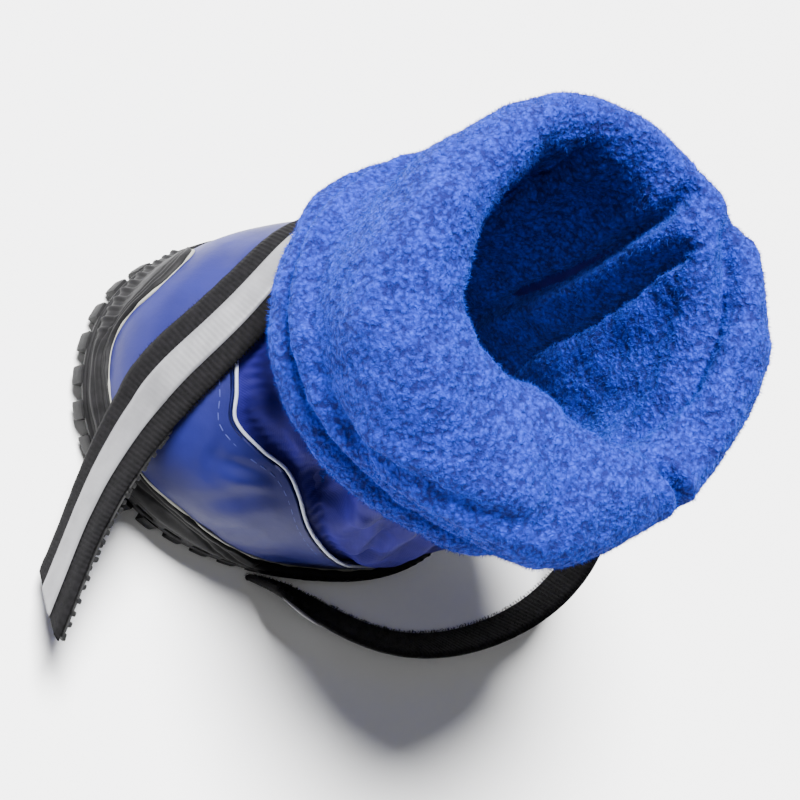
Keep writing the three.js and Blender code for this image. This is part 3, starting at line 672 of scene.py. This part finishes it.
# Outside, rolled edge and inside as one closed profile, carried round the last.
def makeUpper():
    angle = fullTurn(upper["columns"])[:, None]
    bottom = last["soleFloor"] + last["fit"]
    top = leatherTop(angle)
    share = np.linspace(0, 1, upper["rows"])
    z = mix(bottom, top, share)
    base = lastPoint(angle, z)
    swell = 0.18 * noise(base, 13.0) + 0.08 * noise(base, 5.0, 9.3)
    edge = np.minimum(1, (1 - share) * 9) * np.minimum(1, share * 6)
    outer = skin(angle, z, (troughs(base, leatherFolds) - swell) * edge)
    # The top edge rolls in over the leather's thickness.
    turn = np.linspace(0, math.pi, 6)
    half = last["leatherWall"] / 2
    roll = skin(angle, top - half * 0.5 * (1 - np.sin(turn)), half * (1 - np.cos(turn)))
    inner = skin(angle, mix(top - half * 0.5, bottom, np.linspace(0, 1, 12)), last["leatherWall"])
    piece = gridMesh("leather_upper", np.concatenate([outer, roll, inner], 1), leather, True, True)
    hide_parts("upper")


# Cord along a closed or open line of points, round in section, with a radius for each point.
def tube(name, line, radius, material, sides=10, closed=True):
    ahead, behind = np.roll(line, -1, 0), np.roll(line, 1, 0)
    if not closed:
        ahead[-1], behind[0] = line[-1], line[0]
    along = unit(ahead - behind)
    side = unit(np.cross(along, [0, 0, 1.0]))
    top = np.cross(side, along)
    turn = fullTurn(sides)
    ring = side[:, None] * np.cos(turn)[None, :, None] + top[:, None] * np.sin(turn)[None, :, None]
    grid = line[:, None] + ring * np.broadcast_to(radius, len(line))[:, None, None]
    faces = gridFaces(*grid.shape[:2], wrapRows=closed, wrapColumns=True)[:, ::-1]
    return writeMesh(name, grid.reshape(-1, 3), faces, material)


# Stitches: short rounded bars along a line of points on the last.
def stitches(name, place, pitch, length, thickness, material):
    fine = fullTurn(2400)
    line = place(fine)
    runs = runLengths(line)
    count = int(runs[-1] / pitch)
    at = np.arange(count) / count * runs[-1]
    behind, centre, ahead = (np.stack([np.interp(at + shift, runs, line[:, k]) for k in range(3)], 1)
                             for shift in (-length / 2, 0, length / 2))
    along = unit(ahead - behind)
    angle = np.interp(at, runs, fine)
    out = lastNormal(angle, centre[:, 2])
    side = unit(np.cross(out, along))
    block, faces = roundedBlock([length / 2, thickness / 2, thickness / 2], thickness / 2.2, 3)
    points, faces = joinCopies(block, faces, np.stack([along, side, out], 2), centre)
    return writeMesh(name, points, faces, material)


piping = dict(diameter=0.9, columns=720, stitchDrop=1.7, stitchPitch=2.3, stitchLength=1.5, threadWidth=0.26,
              glueColumns=900, glueWidth=0.4)


def makePiping():
    angle = fullTurn(piping["columns"])
    edge = lambda at: lastPoint(at, leatherTop(at))
    normal = lastNormal(angle, leatherTop(angle))
    along = unit(edge(angle + 0.01) - edge(angle - 0.01))
    away = unit(np.cross(normal, along))
    radius = piping["diameter"] * 0.42
    line = edge(angle) + away * (radius + last["fit"] * 0.4) - normal * 0.45
    line = line + normal * 0.1 * noise(line, 6.0)[:, None]
    piece = tube("piping_cord", line, radius * (1 + 0.05 * noise(line, 2.0)), pipingFinish)
    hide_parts("piping")
    seam = stitches("vamp_stitches", lambda at: skin(at, leatherTop(at) - piping["stitchDrop"], 0.05),
                    piping["stitchPitch"], piping["stitchLength"], piping["threadWidth"], threadFinish)


# Glue shows as a thin bead on the rubber's top edge, thicker and thinner by a noise.
def makeGlueLine():
    angle = fullTurn(piping["glueColumns"])
    turn = signedDegrees(angle)
    guarded = (turn > guard["angle"][0]) & (turn < guard["angle"][-1])
    z = np.maximum(rimHeight(angle), np.where(guarded, readTable(guard, "angle", "top", turn), 0)) + 0.2
    patchy = smooth(noise(lastPoint(angle, z), 3.0), -0.3, 0.6)
    line = skin(angle, z, -0.1)
    piece = tube("glue_line", line, piping["glueWidth"] * (0.3 + 0.7 * patchy), glueFinish, sides=6)


makeUpper()
makePiping()
makeGlueLine()
print("leather and piping made")


# Nylon shaft: tucked behind the leather, gathered above the piping, slack under the cuff.
shaft = dict(columns=520, rows=108, tuck=5.0, step=6.5, clear=1.8)
shaftFolds = table("angleA zA angleB zB half depth", [
    (-82, 39.5, -66, 44, 2.6, 2.6),
    (-50, 43, -56, 52, 3.0, 1.2),
    (-38, 46, -25, 38.5, 5.2, 4.2),
    (-27, 48, -22, 41, 1.6, 1.0),
    (-13, 37, -16, 46, 2.0, -0.8),
    (-10, 52, -4, 46.5, 2.6, 3.2),
    (-2, 44, 4, 30, 1.5, 1.3),
    (1, 26, 9, 31, 2.0, 1.5),
    (-20, 47, -15, 36, 2.2, -1.5),
    (-52, 45, -44, 39, 2.4, -1.3),
    (2, 50, 9, 38, 2.4, -1.2),
    (14, 40, 12, 50, 2.4, 1.0),
    (20, 24, 17, 50, 3.0, 1.5),
    (36, 18, 34, 48, 3.4, 1.4),
    (58, 17, 60, 50, 3.6, 1.6),
    (82, 20, 80, 52, 3.6, 1.4),
    (108, 20, 112, 54, 3.8, 1.6),
    (134, 18, 131, 50, 3.4, 1.3),
    (160, 20, 163, 54, 3.8, 1.5),
    (-170, 26, -174, 54, 3.4, 1.3),
    (-146, 33, -150, 54, 3.6, 1.5),
    (-122, 39, -118, 54, 3.4, 1.3),
    (-98, 39, -100, 52, 3.0, 1.2)])


# The nylon lies behind the leather up to the seam and comes out to the last's surface above it.
def nylonDepth(angle, z):
    seam = leatherTop(angle)
    tuck = last["leatherWall"] + 1.5 * last["fit"]
    return tuck * (1 - smooth(z, seam + shaft["clear"], seam + shaft["step"]))


# The last's surface pushed in by folds, gathers and noise between seam and cuff, and an inner wall.
def makeShaft():
    angle = fullTurn(shaft["columns"])[:, None]
    seam = leatherTop(angle)
    foot = np.maximum(seam - shaft["tuck"], last["insoleTop"] + last["fit"])
    z = mix(foot, last["shaftHeight"], np.linspace(0, 1, shaft["rows"]))
    base = lastPoint(angle, z)
    above = z - seam
    free = smooth(above, 0.5, 4) * (1 - smooth(z, 56, 62))
    dip = troughs(base, shaftFolds)
    gather = 0.35 * np.sin(angle * 96 + 2.5 * noise(base, 8.0))
    gather = gather * np.exp(-((above - 1.5) / 2.6) ** 2) * (above > 0)
    swell = 0.5 * noise(base, 9.0, 4.1) + 0.22 * noise(base, 3.5, 2.7)
    depth = nylonDepth(angle, z) + free * (dip - swell + gather + 0.2)
    outer = skin(angle, z, depth)
    inner = skin(angle, z, depth + last["nylonWall"])[:, ::-6]
    run = runLengths(outer[0])
    uv = np.stack(np.broadcast_arrays(angle * 33.0, np.concatenate([run, run[::-6]])), -1)
    piece = gridMesh("nylon_shaft", np.concatenate([outer, inner], 1), nylon, True, True, uv=uv)
    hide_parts("shaft")


makeShaft()
print("shaft made")


# Fleece: one sheet from under the hem, up the cuff, over the roll and down inside to the insole.
cuff = dict(columns=600, rows=280, split=140, nub=0.26, nubSize=1.15, hairs=85000, hairLength=0.75,
            hairWidth=0.12)
# Creases: control row and plan angle of points along each, half width, depth and side ridge in mm.
# A flap stands up on the crease's near side, over its reach, and leans across the crease.
creases = [
    dict(half=1.9, depth=4.6, ridge=0.8, flap=2.4, reach=5.0, lean=1.6, rows=[
        (15.6, 140), (16.9, 139), (18.3, 136), (19.3, 131), (20.4, 128), (21.7, 127), (24.3, 124)]),
    dict(half=2.4, depth=4.4, ridge=0.6, flap=4.6, reach=8.0, lean=3.2, rows=[
        (17.4, 124), (18.2, 121), (18.8, 114.5), (19.6, 108.5), (20.3, 106), (21.1, 105), (22.4, 103),
        (23.2, 102)]),
    dict(half=2.5, depth=4.0, ridge=1.4, rows=[
        (13.4, 127), (14.4, 125), (15.2, 122), (16.3, 106), (17.3, 91), (17.8, 75.5), (18.2, 65.5),
        (18.6, 54)]),
    dict(half=1.3, depth=3.0, ridge=0.8, rows=[
        (16.4, 57), (15.6, 56), (15.1, 53.5), (14.4, 50.5), (13.8, 49), (12.8, 47.5)]),
    dict(half=2.2, depth=1.7, ridge=0.7, rows=[
        (8.5, 286), (8.8, 300), (11.0, 314), (12.1, 322), (13.0, 344), (13.6, 365)]),
    dict(half=6.0, depth=-2.4, ridge=0.0, rows=[(18.6, 92), (19.5, 88), (20.5, 88), (22.0, 88)]),
    dict(half=2.2, depth=2.6, ridge=1.0, rows=[(17, 172), (19, 170), (21, 168)]),
    dict(half=7.0, depth=-1.6, ridge=0.0, rows=[(11.5, -96), (12.0, -60), (12.2, -25), (11.8, 10)]),
    dict(half=4.0, depth=1.5, ridge=0.5, rows=[(15.2, -92), (14.4, -64), (13.8, -30), (13.5, 0)]),
]


# Radius and height of the profile's control points, for every plan angle.
def cuffControls(angle):
    radius = {k: collarSize["radius"] * collarShare(k, angle) for k in ("inner", "outer", "waist", "hem")}
    inner, outer, waist, hem = (radius[k] for k in ("inner", "outer", "waist", "hem"))
    crest = collarSize["crest"] * collarShare("crest", angle)
    drop = collarSize["hem"] * collarShare("drop", angle)
    ledge = crest - collarSize["roll"]
    groove = drop + collarSize["ridge"]
    thick = outer - inner
    wall = last["nylonWall"] + 3.3
    lining = 46.0
    low = sectionRadius(angle, lining) - wall
    controls = [
        (sectionRadius(angle, drop + 6) + 0.5, drop + 6),
        (sectionRadius(angle, drop + 1.5) + 0.8, drop + 1.2),
        (hem - 3.0, drop - 0.2),
        (hem - 0.9, drop + 0.7),
        (hem, drop + 3.0),
        (hem - 0.7, groove - 0.2),
        (hem - 2.5, groove + 1.9),
        (hem - 0.5, groove + 4.4),
        (hem - 0.4, groove + 6.6),
        (mix(hem, waist, 0.5) - 1.0, groove + 9.4),
        (waist, mix(ledge, groove + 4.5, 0.55)),
        (mix(waist, outer, 0.55) + 0.4, mix(ledge, groove + 4.5, 0.28)),
        (outer, ledge + 1),
        (outer - 0.10 * thick, ledge + 6),
        (outer - 0.26 * thick, ledge + 9),
        (outer - 0.46 * thick, crest),
        (inner + 4, ledge + 8.6),
        (inner + 1.2, ledge + 5.5),
        (inner, ledge)]
    for share in (0.72, 0.45, 0.2):
        z = mix(lining, ledge, share)
        controls.append((mix(low, inner, smooth(z, lining + 6, ledge - 4)), z))
    controls.append((low, lining))
    for z in (38.0, 30.0, 22.0, 14.0, 9.0, last["insoleTop"] + 0.3):
        tight = sectionRadius(angle, z) - wall - 2.4 * smooth(44 - z, 0, 8)
        controls.append((tight - (2.5 if z < 8 else 0), z))
    return controls


# The profile's curve at every plan angle, moved along its normal by noise and by each crease's section:
# ridge * exp(-((d - 2) / 1.1)^2) - depth * exp(-d^2), with d the distance in half widths.
def makeCuffGrid():
    angle = fullTurn(cuff["columns"])
    control = np.stack([around(angle, r, z) for r, z in cuffControls(angle)], 0)
    curve, at = throughPoints(control, cuff["rows"])
    grid = curve.transpose(1, 0, 2)
    normal = gridNormals(grid)
    move = 1.1 * noise(grid, 15.0, 3.3) + 0.5 * noise(grid, 6.0, 8.1)
    keep = smooth(at, 1, 3)[None]
    slide = np.zeros_like(grid)
    for crease in creases:
        rows = np.array(crease["rows"], float)
        count = 60
        steps = np.linspace(rows[0, 0], rows[-1, 0], count)
        angles = np.interp(steps, rows[:, 0], rows[:, 1])
        ease = np.sin(np.linspace(0.12, math.pi - 0.12, count)) ** 0.6
        column = (np.radians(angles) / math.tau * cuff["columns"]).round().astype(int) % cuff["columns"]
        row = np.clip(np.interp(steps, at, np.arange(len(at))).round().astype(int), 0, len(at) - 1)
        best = np.full(grid.shape[:2], 1e9)
        share = np.zeros(grid.shape[:2])
        nearest = np.zeros(grid.shape[:2], int)
        for k in range(count):
            away = np.linalg.norm(grid - grid[column[k], row[k]], axis=-1)
            nearer = away < best
            best[nearer] = away[nearer]
            share[nearer] = ease[k]
            nearest[nearer] = k
        d = best / crease["half"]
        ridge = crease["ridge"] * np.exp(-((d - 2.0) / 1.1) ** 2)
        move += share * (ridge - crease["depth"] * np.exp(-d ** 2))
        if "flap" in crease:
            near = signedDegrees(np.radians(angles[nearest]) - angle[:, None]) > 0
            bell = smooth(best, 0.3, 2.6) * np.exp(-np.maximum(0, best - 2.6) / crease["reach"])
            move += share * near * crease["flap"] * bell
            heading = unit(grid[column[nearest], row[nearest]] - grid)
            lean = share * near * crease["lean"] * bell * np.exp(-(best / 6.0) ** 2)
            slide += heading * lean[..., None]
    grid = grid + normal * (move * keep)[..., None] + slide
    return grid, at


# Nubs of the pile: rounded lumps of two sizes pushed out along the surface.
def makeFleeceCuff():
    grid, at = makeCuffGrid()
    normal = gridNormals(grid)
    size = cuff["nubSize"]
    lumps = 0.55 * noise(grid, size, 1.7) + 0.45 * noise(grid, size * 0.6, 5.9)
    lumps = lumps + 0.12 * noise(grid, size * 3.2, 7.7)
    # lift is the nubs' height; the fleece material also paints shade with it, darker in the pits between
    # nubs.
    lift = np.clip(0.5 + 0.72 * lumps, 0, 1)
    full = grid + normal * (cuff["nub"] * 2 * (lift - 0.5))[..., None]
    split = cuff["split"]
    for name, part in (("fleece_cuff_outside", slice(0, split + 1)), ("fleece_lining", slice(split, None))):
        piece = gridMesh(name, full[:, part], fleece, values={"lift": lift[:, part]})
        if part.start == 0:
            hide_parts("fleece_cuff")
    # Loose fibres stand off the surface, as many for each bit of area, from control row low to high.
    rows, columns = grid.shape[:2]
    du = np.linalg.norm(np.roll(full, -1, 0) - full, axis=-1)
    dv = np.linalg.norm(np.roll(full, -1, 1) - full, axis=-1)
    area = du * dv
    area[:, -1] = 0
    for name, low, high in (("cuff_fibres", 1.5, 15.0), ("lining_fibres", 15.0, 24.0)):
        chance = area * ((at > low) & (at < high))[None]
        chance = chance.ravel() / chance.sum()
        count = cuff["hairs"]
        pick = rng.choice(len(chance), count, p=chance)
        i, j = pick // columns, pick % columns
        s, t = rng.random((2, count, 1))
        ni, nj = (i + 1) % rows, np.minimum(j + 1, columns - 1)
        root = (full[i, j] * (1 - s) * (1 - t) + full[ni, j] * s * (1 - t)
                + full[i, nj] * (1 - s) * t + full[ni, nj] * s * t)
        way = unit(normal[i, j] + 0.85 * rng.normal(size=(count, 3)))
        way = way - np.minimum(0, np.sum(way * normal[i, j], 1, keepdims=True)) * 2 * normal[i, j]
        length = cuff["hairLength"] * (0.5 + rng.random(count))
        # Each fibre takes its nub's lift, so the painted shade of the pits reaches the fibres too.
        piece = hairMesh(name, root - normal[i, j] * 0.1, way, length, cuff["hairWidth"], fleecePile,
                         {"lift": lift[i, j]})


makeFleeceCuff()
print("fleece made")


# Strap: the route's stations, as on the CAD solid. Free stations are shares of the last's sizes.
strap = dict(width=15.0, thickness=1.5, tapeWidth=6.0, tapeStart=0.02, tapeEnd=1.0, tapeThickness=0.4,
             hookStart=0.86, hookLift=0.06, hookThickness=1.0, hookPitch=1.5, slant=-0.73, gap=0.7,
             rimFade=4.0, steps=420, hairs=26000)
strapLoop = [
    (1.130, -0.205, 0.245, 14), (1.185, -0.060, 0.235, 28), (1.337, 0.221, 0.215, 34),
    (1.450, 0.560, 0.200, 25), (1.435, 0.860, 0.205, 17), (1.335, 1.140, 0.230, 12),
    (1.175, 1.390, 0.295, 4), (0.965, 1.550, 0.400, -5), (0.640, 1.630, 0.540, -8),
    (0.150, 1.560, 0.650, -4), (-0.420, 1.280, 0.730, -2), (-0.860, 0.860, 0.800, 0)]
strapOnBoot = [(168, 0.880), (-170, 0.940), (-145, 0.975), (-122, 0.985), (-107, 0.955), (-96, 0.860),
               (-87, 0.750), (-80, 0.640)]
strapTail = [(0.510, -1.020, 0.545, -28), (0.716, -1.058, 0.445, -12), (0.950, -1.080, 0.355, -11),
             (1.373, -1.141, 0.245, -13)]


def strapRoute():
    free = lambda row: np.array([row[0] * last["halfWidth"], last["ballOffset"] + row[1] * (
        last["toeReach"] if row[1] < 0 else last["heelReach"]), row[2] * last["vampHeight"]])
    angle = np.radians([row[0] for row in strapOnBoot])
    z = np.array([row[1] for row in strapOnBoot]) * last["vampHeight"]
    middle = strap["gap"] + strap["thickness"] / 2
    onBoot = skin(angle, z, -middle)
    points = np.concatenate([[free(r) for r in strapLoop], onBoot, [free(r) for r in strapTail]])
    leans = np.radians([r[3] for r in strapLoop] + [0] * len(onBoot) + [r[3] for r in strapTail])
    along = np.concatenate([points[1:2] - points[:1], points[2:] - points[:-2], points[-1:] - points[-2:-1]])
    outward = unit(np.cross(unit(along), [0, 0, 1.0]))
    faces = outward * np.cos(leans)[:, None] - np.array([0, 0, 1.0]) * np.sin(leans)[:, None]
    first = len(strapLoop)
    faces[first:first + len(onBoot)] = lastNormal(angle, z)
    return points, faces


# Centripetal Catmull-Rom through the stations, at t per span.
def centripetal(p, i, t):
    p0 = np.where((i > 0)[:, None], p[np.maximum(i - 1, 0)], 2 * p[0] - p[1])
    p1, p2 = p[i], p[i + 1]
    end = len(p) - 1
    p3 = np.where((i + 2 <= end)[:, None], p[np.minimum(i + 2, end)], 2 * p[end] - p[end - 1])
    gap = lambda a, b: np.maximum(np.sum((a - b) ** 2, 1, keepdims=True) ** 0.25, 1e-4)
    d0, d1, d2 = gap(p0, p1), gap(p1, p2), gap(p2, p3)
    m1 = ((p1 - p0) / d0 - (p2 - p0) / (d0 + d1) + (p2 - p1) / d1) * d1
    m2 = ((p2 - p1) / d1 - (p3 - p1) / (d1 + d2) + (p3 - p2) / d2) * d1
    t = t[:, None]
    return p1 + m1 * t + (-3 * p1 + 3 * p2 - 2 * m1 - m2) * t ** 2 + (2 * p1 - 2 * p2 + m1 + m2) * t ** 3


# Even stations on the route: share of its length, centre, face, across and along, and the whole length.
def strapFrames(steps):
    points, faces = strapRoute()
    spans = len(points) - 1
    u = np.linspace(0, spans, 4000)
    i = np.minimum(u.astype(int), spans - 1)
    line = centripetal(points, i, u - i)
    runs = runLengths(line)
    share = np.linspace(0, 1, steps)
    at = np.interp(share * runs[-1], runs, u)
    i = np.minimum(at.astype(int), spans - 1)
    centre = centripetal(points, i, at - i)
    face = centripetal(faces, i, at - i)
    along = unit(np.gradient(centre, axis=0))
    face = unit(face - np.sum(face * along, 1, keepdims=True) * along)
    return share, centre, face, np.cross(along, face), along, runs[-1]


# Moves points out along the last's normal until they clear the boot, and the sole where they are beside it.
def clearOfBoot(point, lift):
    z = point[..., 2]
    angle = np.arctan2(point[..., 1] - last["ballOffset"], point[..., 0] - sectionCentre(z))
    normal = lastNormal(angle, z)
    rim = rimHeight(angle) + last["fit"]
    beside = 1 - smooth(z, rim, rim + strap["rimFade"])
    clearance = strap["gap"] + lift + beside * (sole["wall"] + sole["ledge"])
    gap = np.sum((point - lastPoint(angle, z)) * normal, -1)
    return point + normal * np.maximum(0, clearance - gap)[..., None]


share, centre, faceWay, acrossWay, alongWay, strapLength = strapFrames(strap["steps"])
print("strap length mm", round(float(strapLength), 1))


# Inner face of the strap at every station, smoothed along its length so that it bends evenly.
strapReach = np.linspace(-strap["width"] / 2, strap["width"] / 2, 31)


def makeStrapFace():
    lift = smooth(share, strap["hookStart"] - strap["hookLift"], strap["hookStart"])
    lift = (lift * (last["fit"] + strap["hookThickness"]))[:, None]
    slide = strap["slant"] * smooth(share, 0.97, 1.0)
    point = (centre[:, None] + acrossWay[:, None] * strapReach[None, :, None]
             + alongWay[:, None] * (slide[:, None] * strapReach)[..., None]
             - faceWay[:, None] * strap["thickness"] / 2)
    point = clearOfBoot(point, lift)
    run = share * strapLength
    weight = np.exp(-((run[:, None] - run[None]) / 10.0) ** 2 / 2)
    weight /= weight.sum(1, keepdims=True)
    even = np.einsum("ij,jkl->ikl", weight, point)
    ends = (smooth(share, 0.0, 0.04) * (1 - smooth(share, 0.93, 0.97)))[:, None, None]
    return clearOfBoot(mix(point, even, ends), lift - 0.35)


strapFace = makeStrapFace()


# Points of the inner face, reach mm across from the middle, at the stations picked.
def strapInner(reach, pick):
    at = (np.asarray(reach) / strap["width"] + 0.5) * 30
    low = np.clip(np.floor(at).astype(int), 0, 29)
    part = (at - low)[..., None]
    rows = np.asarray(pick)[:, None]
    return strapFace[rows, low] * (1 - part) + strapFace[rows, low + 1] * part


# A band along the strap: a rounded flat section between two heights over the strap's inner face, with caps.
def bandMesh(name, pick, half, inside, outside, corner, material, edgeWave=0.0, across=15):
    side = np.linspace(-1, 1, across)
    reach = side * half * (1 + edgeWave * noise(centre[pick], 1.6)[:, None])
    inner = strapInner(reach, pick)
    pinch = np.clip((half - np.abs(side) * half) / corner, 0, 1)
    deep = (outside - inside) / 2 * (0.25 + 0.75 * np.sqrt(1 - (1 - pinch) ** 2))
    low, high = (inner + faceWay[pick][:, None] * ((inside + outside) / 2 + sign * deep)[None, :, None]
                 for sign in (-1, 1))
    grid = np.concatenate([low, high[:, ::-1]], 1)
    run = share[pick] * strapLength
    uv = np.stack(np.broadcast_arrays(run[:, None], np.concatenate([side, side[::-1]]) * half), -1)
    rows, columns = grid.shape[:2]
    faces = [gridFaces(rows, columns, wrapColumns=True)]
    j = np.arange(columns // 2 - 1)
    cap = np.stack([j, j + 1, columns - 2 - j, columns - 1 - j], 1)
    faces += [cap, cap[:, ::-1] + (rows - 1) * columns]
    return writeMesh(name, grid.reshape(-1, 3), np.concatenate(faces), material, uv=uv)


def makeStrap():
    everything = np.arange(strap["steps"])
    piece = bandMesh("strap_webbing", everything, strap["width"] / 2, 0.0, strap["thickness"], 0.7, webbing,
                     0.012)
    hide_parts("strap")
    taped = np.nonzero((share >= strap["tapeStart"]) & (share <= strap["tapeEnd"]))[0]
    base = strap["thickness"] + 0.02
    piece = bandMesh("strap_tape", taped, strap["tapeWidth"] / 2, base, base + strap["tapeThickness"], 0.25,
                     tape, across=9)
    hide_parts("reflective_tape")
    # The tape's turned end shows as a light edge beside the root.
    rooted = np.nonzero((share >= 0.004) & (share <= 0.036))[0]
    line = strapInner(np.full((len(rooted), 1), -strap["width"] / 2), rooted)[:, 0]
    line = line + faceWay[rooted] * strap["thickness"] * 0.9
    fade = np.sin(np.linspace(0.25, math.pi - 0.25, len(rooted)))
    piece = tube("tape_end", line, 0.42 * fade, tape, sides=8, closed=False)
    # Loop pile on the inner face and a frayed edge.
    count = strap["hairs"]
    step = rng.integers(0, strap["steps"] - 1, count)
    edge = rng.random(count) < 0.5
    frayed = np.sign(rng.normal(size=count)) * (1 - 0.04 * rng.random(count))
    side = np.where(edge, frayed, rng.uniform(-1, 1, count))
    keep = share[step] < strap["hookStart"] - 0.01
    step, side, edge = step[keep], side[keep], edge[keep]
    root = strapInner((side * strap["width"] / 2)[:, None], step)[:, 0]
    root = root + faceWay[step] * (np.where(edge, 0.6, 0.05) * rng.random(len(step)))[:, None]
    way = unit(-faceWay[step] * np.where(edge, 0.4, 1.0)[:, None] + acrossWay[step] * (side * np.where(
        edge, 1.0, 0.3))[:, None] + 0.6 * rng.normal(size=(len(step), 3)))
    piece = hairMesh("strap_pile", root, way, 0.35 + 0.45 * rng.random(len(step)), 0.14, webbing)


def makeHooks():
    hooked = np.nonzero(share >= strap["hookStart"])[0]
    piece = bandMesh("hook_backing", hooked, strap["width"] / 2 - 0.2, -0.55, -0.02, 0.25, hookFinish)
    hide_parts("hook_patch")
    pitch = strap["hookPitch"]
    length = (1 - strap["hookStart"]) * strapLength
    along, across = np.meshgrid(np.arange(0.5, length, pitch), np.arange(-7.3, 7.4, pitch), indexing="ij")
    along = along + np.where(np.arange(along.shape[1]) % 2, 0, pitch / 2)[None]
    at = np.clip(strap["hookStart"] + along.ravel() / strapLength, 0, 1)
    step = np.interp(at, share, np.arange(len(share))).round().astype(int)
    side = (0.94 * across.ravel() + 0.15 * rng.normal(size=len(step))).clip(-7.0, 7.0)
    root = strapInner(side[:, None], step)[:, 0]
    root = root - faceWay[step] * (0.3 + 0.12 * rng.normal(size=(len(step), 1)))
    root = root + alongWay[step] * 0.35 * rng.normal(size=(len(step), 1))
    block, faces = roundedBlock([0.6, 0.6, 0.55], 0.4, 1)
    block = block + np.array([0.15, 0, 0]) * (block[:, 2:] / 0.5).clip(0, 1) ** 2
    block[:, 2] += 0.35
    frames = np.stack([alongWay[step] * np.sign(rng.normal(size=len(step)))[:, None], acrossWay[step],
                       -faceWay[step]], 2)
    points, faces = joinCopies(block, faces, frames, root)
    piece = writeMesh("hooks", points, faces, hookFinish)


makeStrap()
makeHooks()
print("strap made")


# The hidden insole keeps its CAD shape.
for slot in bpy.data.objects["insole"].material_slots:
    slot.material = fleece


def makeFloor():
    mesh = bpy.data.meshes.new("floor")
    mesh.from_pydata([(-9, -9, 0), (9, -9, 0), (9, 9, 0), (-9, 9, 0)], [], [(0, 1, 2, 3)])
    white = linear("#FFFFFF")
    board = makeMaterial("white_board", white, white, (1.0,), [], Roughness=0.9, Specular_IOR_Level=0.1)
    mesh.materials.append(board)
    floor = bpy.data.objects.new("floor", mesh)
    bpy.context.scene.collection.objects.link(floor)


def lookAlong(way, place):
    z = -way
    x = unit(np.cross([0, 0, 1.0], z))
    y = np.cross(z, x)
    return Matrix([[x[i], y[i], z[i], place[i]] for i in range(3)] + [[0, 0, 0, 1]])


# A light of a kind, distance mm away from its target the way it is named.
def makeLight(name, kind, way, distance, target, power, **settings):
    light = bpy.data.lights.new(name, kind)
    light.energy = power
    for key, value in settings.items():
        setattr(light, key, value)
    lamp = bpy.data.objects.new(name, light)
    bpy.context.scene.collection.objects.link(lamp)
    way = unit(np.array(way, float))
    lamp.matrix_world = lookAlong(-way, (np.array(target) + way * distance) * MM)


def makeWorld():
    world = bpy.data.worlds.new("studio")
    world.use_nodes = True
    bpy.context.scene.world = world
    background = world.node_tree.nodes["Background"]
    background.inputs[0].default_value = linear("#FFFFFF")
    background.inputs[1].default_value = 0.07


makeFloor()
makeWorld()
# Key: a wide sun from high on the far side, whose short soft shadow falls to the near side. Fill: a wide
# soft box by the camera. Mouth: a narrow soft cone, 84 mm wide on the collar's opening.
makeLight("key", "SUN", (-0.52, -0.27, 0.81), 1000, (0, 0, 0), 20.5, angle=math.radians(24.0))
makeLight("fill", "AREA", camBack, 900, (0, 10, 45), 1.0, shape="DISK", size=500 * MM)
makeLight("mouth", "SPOT", camBack, 900, (-2, 16, 92), 24.0, spot_size=2 * math.atan(84 / 2 / 900),
          spot_blend=1.0, shadow_soft_size=25 * MM)
print("stage made")
